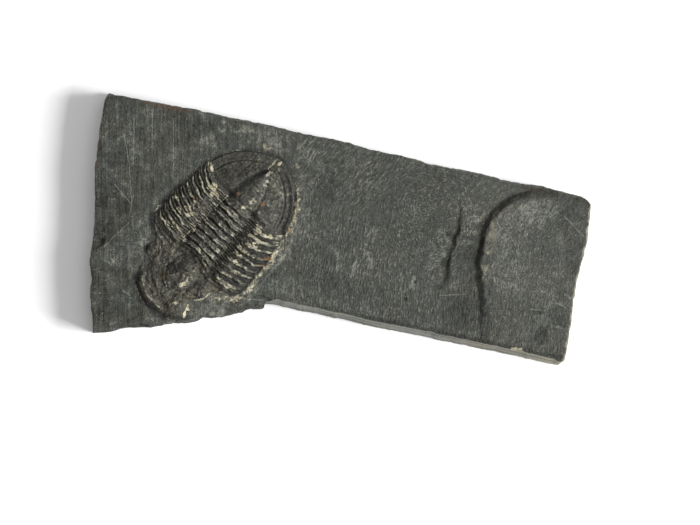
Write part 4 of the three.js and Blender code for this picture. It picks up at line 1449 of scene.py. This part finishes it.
def crumb_group():
    """Small lumps scattered over a surface where its lime attribute is strong."""
    inputs = {
        "Geometry": (MESH, None),
        "Crumbs per square metre": (FLOAT, 3.0e6),
        "Least lime": (FLOAT, 0.55),
        "Smallest": (FLOAT, 0.00008),
        "Largest": (FLOAT, 0.00026),
    }
    tree, given, result = new_group("Calcite crumbs", "GeometryNodeTree", inputs, {"Geometry": MESH})
    lime = add_node(tree, "GeometryNodeInputNamedAttribute", data_type="FLOAT")
    lime.inputs["Name"].default_value = "lime"
    strong = Wire(tree, lime.outputs["Attribute"]).ramp(given["Least lime"], 1.0)
    scatter = add_node(tree, "GeometryNodeDistributePointsOnFaces", distribute_method="RANDOM")
    feed(tree, scatter.inputs["Mesh"], given["Geometry"])
    feed(tree, scatter.inputs["Density"], strong * given["Crumbs per square metre"])
    scatter.inputs["Seed"].default_value = 11
    lump = add_node(tree, "GeometryNodeMeshIcoSphere")
    lump.inputs["Radius"].default_value = 1.0
    lump.inputs["Subdivisions"].default_value = 1
    shape = random_wire(tree, "FLOAT_VECTOR", (0.6, 0.6, 0.35), (1.0, 1.0, 0.7), 12)
    size = random_wire(tree, "FLOAT", given["Smallest"], given["Largest"], 13)
    turn = random_wire(tree, "FLOAT_VECTOR", (0.0, 0.0, 0.0), (0.5, 0.5, 6.28), 14)
    inputs = {
        "Points": Wire(tree, scatter.outputs["Points"]),
        "Instance": Wire(tree, lump.outputs["Mesh"]),
        "Rotation": turn,
        "Scale": shape.scaled(size),
    }
    placed = output_of(tree, "GeometryNodeInstanceOnPoints", inputs)
    finish_tree(tree, result, placed, LIME)
    return tree


# Surface effects that several finishes share


def noise_wire(tree, place, size, detail=3.0, roughness=0.6, output="Fac"):
    """Noise whose bumps are about size millimetres across."""
    inputs = {"Vector": place, "Scale": 1.0 / (size * MM), "Detail": detail, "Roughness": roughness}
    return output_of(tree, "ShaderNodeTexNoise", inputs, output)


def grain_group():
    """The shale's fine speckle of silt grains, crumbs and pores."""
    inputs = {"Vector": (VECTOR, None), "Pores": (FLOAT, 0.5)}
    outputs = {"Shade": FLOAT, "Height": FLOAT, "Tint": FLOAT}
    tree, given, result = new_group("Stone grain", "ShaderNodeTree", inputs, outputs)
    fine = noise_wire(tree, given["Vector"], 0.42, 4.0, 0.75)
    coarse = noise_wire(tree, given["Vector"], 1.5, 4.0, 0.65)
    cloud = noise_wire(tree, given["Vector"], 9.0, 3.0, 0.55)
    solid = noise_wire(tree, given["Vector"], 0.6, 2.0, 0.5).ramp(0.24, 0.42)
    pores = (1.0 - solid) * given["Pores"]
    shade = (fine - 0.5) * 2.2 + (coarse - 0.5) * 1.3 + (cloud - 0.5) * 0.8 - pores * 0.8
    feed(tree, result.inputs["Shade"], shade)
    feed(tree, result.inputs["Height"], fine * 0.5 + coarse * 0.9 - pores * 0.5)
    tint = noise_wire(tree, given["Vector"].vector("ADD", (0.3, 0.1, 0.0)), 7.0, 3.0, 0.6)
    feed(tree, result.inputs["Tint"], tint.ramp(0.4, 0.62))
    return tree


def stroke_group():
    """Short marks of a steel brush, all running one way."""
    inputs = {"Vector": (VECTOR, None), "Turn": (FLOAT, 0.0)}
    tree, given, result = new_group("Brush strokes", "ShaderNodeTree", inputs, {"Strokes": FLOAT})
    turned = add_node(tree, "ShaderNodeVectorRotate", rotation_type="Z_AXIS")
    feed(tree, turned.inputs["Vector"], given["Vector"])
    feed(tree, turned.inputs["Angle"], given["Turn"])
    bend = noise_wire(tree, given["Vector"], 9.0, 1.0, 0.5, "Color")
    bend = bend.vector("MULTIPLY", (0.0016, 0.0016, 0.0))
    place = Wire(tree, turned.outputs[0]).vector("ADD", bend)
    squeezed = place.vector("MULTIPLY", (1.0, 0.24, 1.0))
    marks = noise_wire(tree, squeezed, 0.42, 3.0, 0.65)
    feed(tree, result.inputs["Strokes"], marks.ramp(0.34, 0.7))
    return tree


def line_group():
    """A thin straight line between two places."""
    inputs = {
        "Vector": (VECTOR, None),
        "From": (VECTOR, None),
        "To": (VECTOR, None),
        "Width": (FLOAT, 0.0001),
    }
    tree, given, result = new_group("Thin line", "ShaderNodeTree", inputs, {"Line": FLOAT})
    way = given["To"].vector("SUBTRACT", given["From"])
    place = given["Vector"].vector("SUBTRACT", given["From"])
    length = way.vector("DOT_PRODUCT", way, output=1)
    share = (place.vector("DOT_PRODUCT", way, output=1) / length).clamp()
    gap = place.vector("SUBTRACT", way.scaled(share)).vector("LENGTH", output=1)
    feed(tree, result.inputs["Line"], 1.0 - gap.ramp(given["Width"] * 0.4, given["Width"] * 1.3))
    return tree


def crust_group():
    """Pale calcite in grainy patches: where it lies, how clean it is and how high it stands."""
    inputs = {"Vector": (VECTOR, None), "Amount": (FLOAT, 0.0)}
    outputs = {"Mask": FLOAT, "Clean": FLOAT, "Height": FLOAT}
    tree, given, result = new_group("Calcite crust", "ShaderNodeTree", inputs, outputs)
    patchy = noise_wire(tree, given["Vector"], 0.55, 4.0, 0.7)
    wide = noise_wire(tree, given["Vector"], 1.7, 3.0, 0.6)
    level = given["Amount"] + (patchy - 0.5) * 1.2
    mask = level.ramp(0.32, 0.72)
    feed(tree, result.inputs["Mask"], mask)
    feed(tree, result.inputs["Clean"], ((patchy - 0.5) * 2.4 + (wide - 0.5) * 2.0 + 0.45).clamp())
    feed(tree, result.inputs["Height"], mask * (patchy * 0.6 + 0.4))
    return tree


def stain_group():
    """Iron rust soaked into the stone."""
    inputs = {"Vector": (VECTOR, None), "Amount": (FLOAT, 0.0)}
    tree, given, result = new_group("Rust stain", "ShaderNodeTree", inputs, {"Mask": FLOAT})
    patchy = noise_wire(tree, given["Vector"], 0.7, 3.0, 0.65)
    mask = (given["Amount"] * (patchy * 1.6 + 0.1)).ramp(0.12, 0.75)
    feed(tree, result.inputs["Mask"], mask)
    return tree


# Finishes


def linear(red, green, blue):
    """A screen colour of 0 to 255 as Blender's linear colour."""
    def one(value):
        value = value / 255
        return value / 12.92 if value <= 0.04045 else ((value + 0.055) / 1.055) ** 2.4

    return (one(red), one(green), one(blue), 1.0)


def blend_colours(tree, share, low, high):
    """A mix of two colours, whose sockets come after those for numbers and vectors."""
    node = add_node(tree, "ShaderNodeMix", data_type="RGBA")
    feed(tree, node.inputs["Factor"], share)
    feed(tree, node.inputs[6], low)
    feed(tree, node.inputs[7], high)
    return Wire(tree, node.outputs[2])


def new_finish(name):
    """A material, its tree, its shader and a wire for the place on the object."""
    material = bpy.data.materials.new(name)
    material.use_nodes = True
    tree = material.node_tree
    tree.nodes.clear()
    shader = tree.nodes.new("ShaderNodeBsdfPrincipled")
    output = tree.nodes.new("ShaderNodeOutputMaterial")
    tree.links.new(shader.outputs[0], output.inputs["Surface"])
    place = Wire(tree, tree.nodes.new("ShaderNodeTexCoord").outputs["Object"])
    return material, tree, shader, place


def attribute_wire(tree, name):
    node = add_node(tree, "ShaderNodeAttribute", attribute_type="GEOMETRY", attribute_name=name)
    return Wire(tree, node.outputs["Fac"])


def set_surface(tree, shader, colour, roughness, height, depth_mm, specular):
    feed(tree, shader.inputs["Base Color"], colour)
    feed(tree, shader.inputs["Roughness"], roughness)
    shader.inputs["Specular IOR Level"].default_value = specular
    bump = add_node(tree, "ShaderNodeBump")
    bump.inputs["Strength"].default_value = 1.0
    bump.inputs["Distance"].default_value = depth_mm * MM
    feed(tree, bump.inputs["Height"], height)
    tree.links.new(bump.outputs["Normal"], shader.inputs["Normal"])


SHALE_DARK = linear(26, 27, 23)
SHALE_COOL = linear(55, 58, 54)
SHALE_WARM = linear(58, 58, 51)
SHALE_PALE = linear(118, 119, 110)
DUST = linear(150, 144, 124)
CALCITE = linear(188, 182, 158)
CALCITE_DULL = linear(104, 98, 78)
RUST_BROWN = linear(70, 54, 42)
RUST_ORANGE = linear(106, 72, 42)
SHELL_DARK = linear(15, 15, 12)
SHELL_MID = linear(64, 63, 54)
# The pale colour of painted highlights and pale specks on the plates
SHELL_PALE_AND_LIT = linear(146, 143, 127)
SHELL_BROWN = linear(66, 61, 45)
CRUMB_DULL = linear(84, 80, 66)
CRUMB_CLEAN = linear(164, 158, 136)
FLOOR_DULL = (0.86, 0.86, 0.86, 1.0)
FLOOR_CLEAN = (0.88, 0.88, 0.88, 1.0)


def weathered(tree, place, colour, rust_colour, rust_share, crust_share):
    """A colour under the painted rust and calcite, with the rust's mask and the crust."""
    rust = use_group(tree, STAIN, {"Vector": place, "Amount": attribute_wire(tree, "rust")})["Mask"]
    colour = blend_colours(tree, rust * rust_share, colour, rust_colour)
    crust = use_group(tree, CRUST, {"Vector": place, "Amount": attribute_wire(tree, "lime")})
    calcite = blend_colours(tree, crust["Clean"], CALCITE_DULL, CALCITE)
    return blend_colours(tree, crust["Mask"] * crust_share, colour, calcite), rust, crust


def brush_marks(tree, place, x, y, cloud, left):
    """Strokes of a brush: upright, slanted at the top, round a swirl and long at the left."""
    upright, slanted = (
        use_group(tree, STROKES, {"Vector": place, "Turn": math.radians(turn)})["Strokes"]
        for turn in STROKE_TURNS
    )
    swirl_x, swirl_y = x - SWIRL_CENTRE[0], y - SWIRL_CENTRE[1]
    radius = (swirl_x * swirl_x + swirl_y * swirl_y) ** 0.5
    angle = swirl_y.math("ARCTAN2", swirl_x)
    ring_place = joined(tree, radius * MM, angle * (SWIRL_RADIUS * MM), 0.0)
    swirl = use_group(tree, STROKES, {"Vector": ring_place, "Turn": 0.0})["Strokes"]
    upper = (y * 0.055 + x * 0.012 + (cloud - 0.5) * 2.0).ramp(-0.1, 0.7)
    strokes = blend_wires(upright, slanted, upper)
    near_swirl = 1.0 - (radius + (cloud - 0.5) * 14.0).ramp(9.0, 18.0)
    strokes = blend_wires(strokes, swirl, near_swirl)
    streaky = noise_wire(tree, place.vector("MULTIPLY", (1.0, 0.07, 1.0)), 0.9, 3.0, 0.6)
    return blend_wires(strokes, streaky.ramp(0.36, 0.66), left)


def scratch_lines(tree, place, z):
    """The scratches of the upper face, each a little wavy and broken."""
    wave = noise_wire(tree, place, 2.2, 2.0, 0.5, "Color").vector("SUBTRACT", (0.5, 0.5, 0.5))
    wave = wave.vector("MULTIPLY", (0.0007, 0.0007, 0.0))
    flat = place.vector("ADD", wave).vector("MULTIPLY", (1.0, 1.0, 0.0))
    lines = None
    for start, end, width in SCRATCHES:
        ends = [tuple(value * MM for value in at) + (0.0,) for at in (start, end)]
        inputs = {"Vector": flat, "From": ends[0], "To": ends[1], "Width": width * 1.3 * MM}
        line = use_group(tree, LINE, inputs)["Line"]
        lines = line if lines is None else lines.math("MAXIMUM", line)
    broken = noise_wire(tree, place, 0.9, 2.0, 0.6).ramp(0.3, 0.55) * 0.7 + 0.3
    return lines * z.ramp(8.0, 8.4) * broken


def shale_finish():
    material, tree, shader, place = new_finish("shale")
    grain = use_group(tree, GRAIN, {"Vector": place, "Pores": 0.5})
    x, y, z = place.vector("MULTIPLY", (1000.0, 1000.0, 1000.0)).parts()
    cloud = noise_wire(tree, place, 11.0, 2.0)
    block = (x + (cloud - 0.5) * 6.0).ramp(34.0, 38.0)
    left = 1.0 - (x + (cloud - 0.5) * 8.0).ramp(-16.0, -8.0)
    strokes = brush_marks(tree, place, x, y, cloud, left)
    brushed = (1.0 - block * 0.45) * (1.0 - left * 0.5)

    shade = grain["Shade"] * 1.15 + (strokes - 0.45) * brushed * 0.66
    # The dark attribute is mostly painted shade, and the pale one holds a painted highlight along the
    # welt
    shade = shade + attribute_wire(tree, "pale") * 0.52 - attribute_wire(tree, "dark") * 0.75
    blotches = noise_wire(tree, place, 3.4, 4.0, 0.65)
    shade = shade + left * ((blotches - 0.5) * 2.4 - 0.12)
    wall = attribute_wire(tree, "wall")
    laminae = noise_wire(tree, place.vector("MULTIPLY", (0.12, 0.12, 1.0)), 0.8, 4.0, 0.7)
    shade = blend_wires(shade, grain["Shade"] * 0.6 + (laminae - 0.5) * 2.6, wall)
    share = (shade * 0.5 + 0.5).clamp()
    middle = (1.0 - left) * (1.0 - (x + (cloud - 0.5) * 8.0).ramp(26.0, 34.0))
    warmth = grain["Tint"] * 0.7 + 0.15
    ground = blend_colours(tree, warmth * (1.0 - middle * 0.4), SHALE_COOL, SHALE_WARM)
    colour = blend_colours(tree, share.ramp(0.0, 0.5), SHALE_DARK, ground)
    colour = blend_colours(tree, share.ramp(0.45, 1.1), colour, SHALE_PALE)

    sawn = attribute_wire(tree, "sawn")
    layers = noise_wire(tree, place.vector("MULTIPLY", (0.05, 0.05, 1.0)), 1.5, 3.0, 0.65)
    sawn_share = sawn * (layers.ramp(0.42, 0.55) * 0.85 + 0.25).clamp()
    colour = blend_colours(tree, sawn_share, colour, SHALE_PALE)
    coarse = noise_wire(tree, place, 5.0, 3.0, 0.6)
    tan = sawn * (x + (coarse - 0.5) * 30.0).ramp(18.0, 52.0)
    colour = blend_colours(tree, tan * layers.ramp(0.35, 0.6) * 0.8, colour, DUST)
    lines = scratch_lines(tree, place, z)
    colour = blend_colours(tree, lines * 0.55, colour, SHALE_PALE)
    flecks = noise_wire(tree, place, 0.7, 1.0, 0.4).ramp(0.71, 0.76)
    colour = blend_colours(tree, flecks * 0.5, colour, SHALE_PALE)

    ragged = noise_wire(tree, place, 0.8, 3.0)
    dust = (attribute_wire(tree, "dust") * (ragged * 1.2 + 0.3)).clamp()
    colour = blend_colours(tree, dust * 0.75, colour, DUST)
    colour, rust, crust = weathered(tree, place, colour, RUST_BROWN, 0.8, 0.85)
    colour = blend_colours(tree, crust["Mask"] * rust, colour, RUST_ORANGE)

    height = grain["Height"] + strokes * brushed * (1.0 - wall) * 0.35 + laminae * wall * 0.5
    height = height + crust["Height"] * 0.4 - lines * 0.2
    roughness = grain["Shade"] * 0.08 + 0.72
    set_surface(tree, shader, colour, roughness, height, 0.5, 0.3)
    return material


def shell_finish():
    material, tree, shader, place = new_finish("fossil_shell")
    grain = use_group(tree, GRAIN, {"Vector": place, "Pores": 0.9})
    crumbly = noise_wire(tree, place, 0.8, 4.0, 0.7)
    share = (grain["Shade"] * 0.55 + (crumbly - 0.5) * 2.0 + 0.55).clamp()
    colour = blend_colours(tree, share, SHELL_DARK, SHELL_MID)
    brown = attribute_wire(tree, "brown") * noise_wire(tree, place, 1.6, 3.0).ramp(0.42, 0.62)
    colour = blend_colours(tree, brown * 0.65, colour, SHELL_BROWN)
    specks = noise_wire(tree, place, 0.6, 3.0, 0.7).ramp(0.52, 0.68)
    # Painted highlight on the crests and lit flanks, with paler patches and specks
    pale_and_lit = (attribute_wire(tree, "crest") * (crumbly * 1.5 + 0.1)).ramp(0.2, 0.9)
    pale_and_lit = pale_and_lit.math("MAXIMUM", specks * 0.4)
    colour = blend_colours(tree, pale_and_lit * 0.9, colour, SHELL_PALE_AND_LIT)
    # Mostly painted shade in the hollows, gaps and shaded margins, with darker patches
    colour = blend_colours(tree, attribute_wire(tree, "dark") * 0.86, colour, SHELL_DARK)
    colour, _, crust = weathered(tree, place, colour, RUST_ORANGE, 0.7, 0.9)
    height = grain["Height"] * 0.6 + crumbly * 0.75 + crust["Height"] * 0.5
    roughness = blend_wires(share * 0.2 + 0.52, 0.85, crust["Mask"])
    set_surface(tree, shader, colour, roughness, height, 0.4, 0.35)
    return material


def lime_finish():
    material, tree, shader, place = new_finish("calcite")
    grain = use_group(tree, GRAIN, {"Vector": place, "Pores": 0.3})
    colour = blend_colours(tree, (grain["Shade"] * 0.5 + 0.5).clamp(), CRUMB_DULL, CRUMB_CLEAN)
    amount = noise_wire(tree, place, 3.0).ramp(0.55, 0.7)
    rust = use_group(tree, STAIN, {"Vector": place, "Amount": amount})
    colour = blend_colours(tree, rust["Mask"] * 0.5, colour, RUST_ORANGE)
    set_surface(tree, shader, colour, grain["Shade"] * 0.1 + 0.7, grain["Height"], 0.15, 0.4)
    return material


def floor_finish():
    material, tree, shader, place = new_finish("pale_floor")
    patchy = noise_wire(tree, place, 60.0, 2.0)
    colour = blend_colours(tree, patchy, FLOOR_DULL, FLOOR_CLEAN)
    set_surface(tree, shader, colour, patchy * 0.05 + 0.9, patchy, 0.01, 0.1)
    return material


# The studio


def make_camera():
    camera = add_object("Camera", bpy.data.cameras.new("Camera"))
    bpy.context.scene.camera = camera
    camera.data.sensor_width = SENSOR_WIDTH
    camera.data.lens = SENSOR_WIDTH * CAMERA_HEIGHT / VIEW_WIDTH
    camera.data.clip_end = 10.0
    camera.location = (VIEW_CENTRE[0] * MM, VIEW_CENTRE[1] * MM, (VIEW_LEVEL + CAMERA_HEIGHT) * MM)


def make_light(name, place, size, power):
    """A square soft light that looks at the slab."""
    lamp = bpy.data.lights.new(name, "AREA")
    lamp.shape = "SQUARE"
    lamp.size = size
    lamp.energy = power
    light = add_object(name, lamp)
    light.location = place
    light.rotation_euler = (-Vector(place)).to_track_quat("-Z", "Y").to_euler()


def make_studio():
    """The white surroundings, the lights, plain view settings and the floor."""
    world = bpy.data.worlds.new("Studio")
    bpy.context.scene.world = world
    world.use_nodes = True
    background = world.node_tree.nodes["Background"]
    background.inputs["Color"].default_value = (1.0, 1.0, 1.0, 1.0)
    background.inputs["Strength"].default_value = WORLD_STRENGTH
    for name, settings in LIGHTS.items():
        make_light(name, *settings)
    bpy.context.scene.view_settings.view_transform = "Standard"
    bpy.context.scene.view_settings.look = "None"

    mesh = bpy.data.meshes.new("floor")
    corners = [(-1, -1), (1, -1), (1, 1), (-1, 1)]
    mesh.from_pydata([(x * FLOOR_HALF, y * FLOOR_HALF, 0) for x, y in corners], [], [(0, 1, 2, 3)])
    floor = add_object("floor", mesh)
    mesh.materials.append(floor_finish())


make_camera()
GRAIN = grain_group()
STROKES = stroke_group()
LINE = line_group()
CRUST = crust_group()
STAIN = stain_group()
SHALE = shale_finish()
SHELL = shell_finish()
LIME = lime_finish()
make_studio()

slab = make_slab()
slab.data.materials.append(SHALE)
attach(slab, "root")
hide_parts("slab")

SEGMENT = segment_group()
plates = {"head_shield": make_head(), "tail_shield": make_tail()}
for k in range(SEGMENTS):
    segment = grow(f"thorax_segment_{k + 1}_shell", SEGMENT, {"Segment": float(k)})
    smooth_shade(segment.data, 60)
    plates[f"thorax_segment_{k + 1}"] = segment
for node, plate in plates.items():
    if not plate.data.materials:
        plate.data.materials.append(SHELL)
    paint_shell(plate)
    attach(plate, "root")
    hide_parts(node)

CRUMBS = crumb_group()
crumbs = grow("calcite_crumbs", CRUMBS, {}, slab.data)
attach(crumbs, "root")
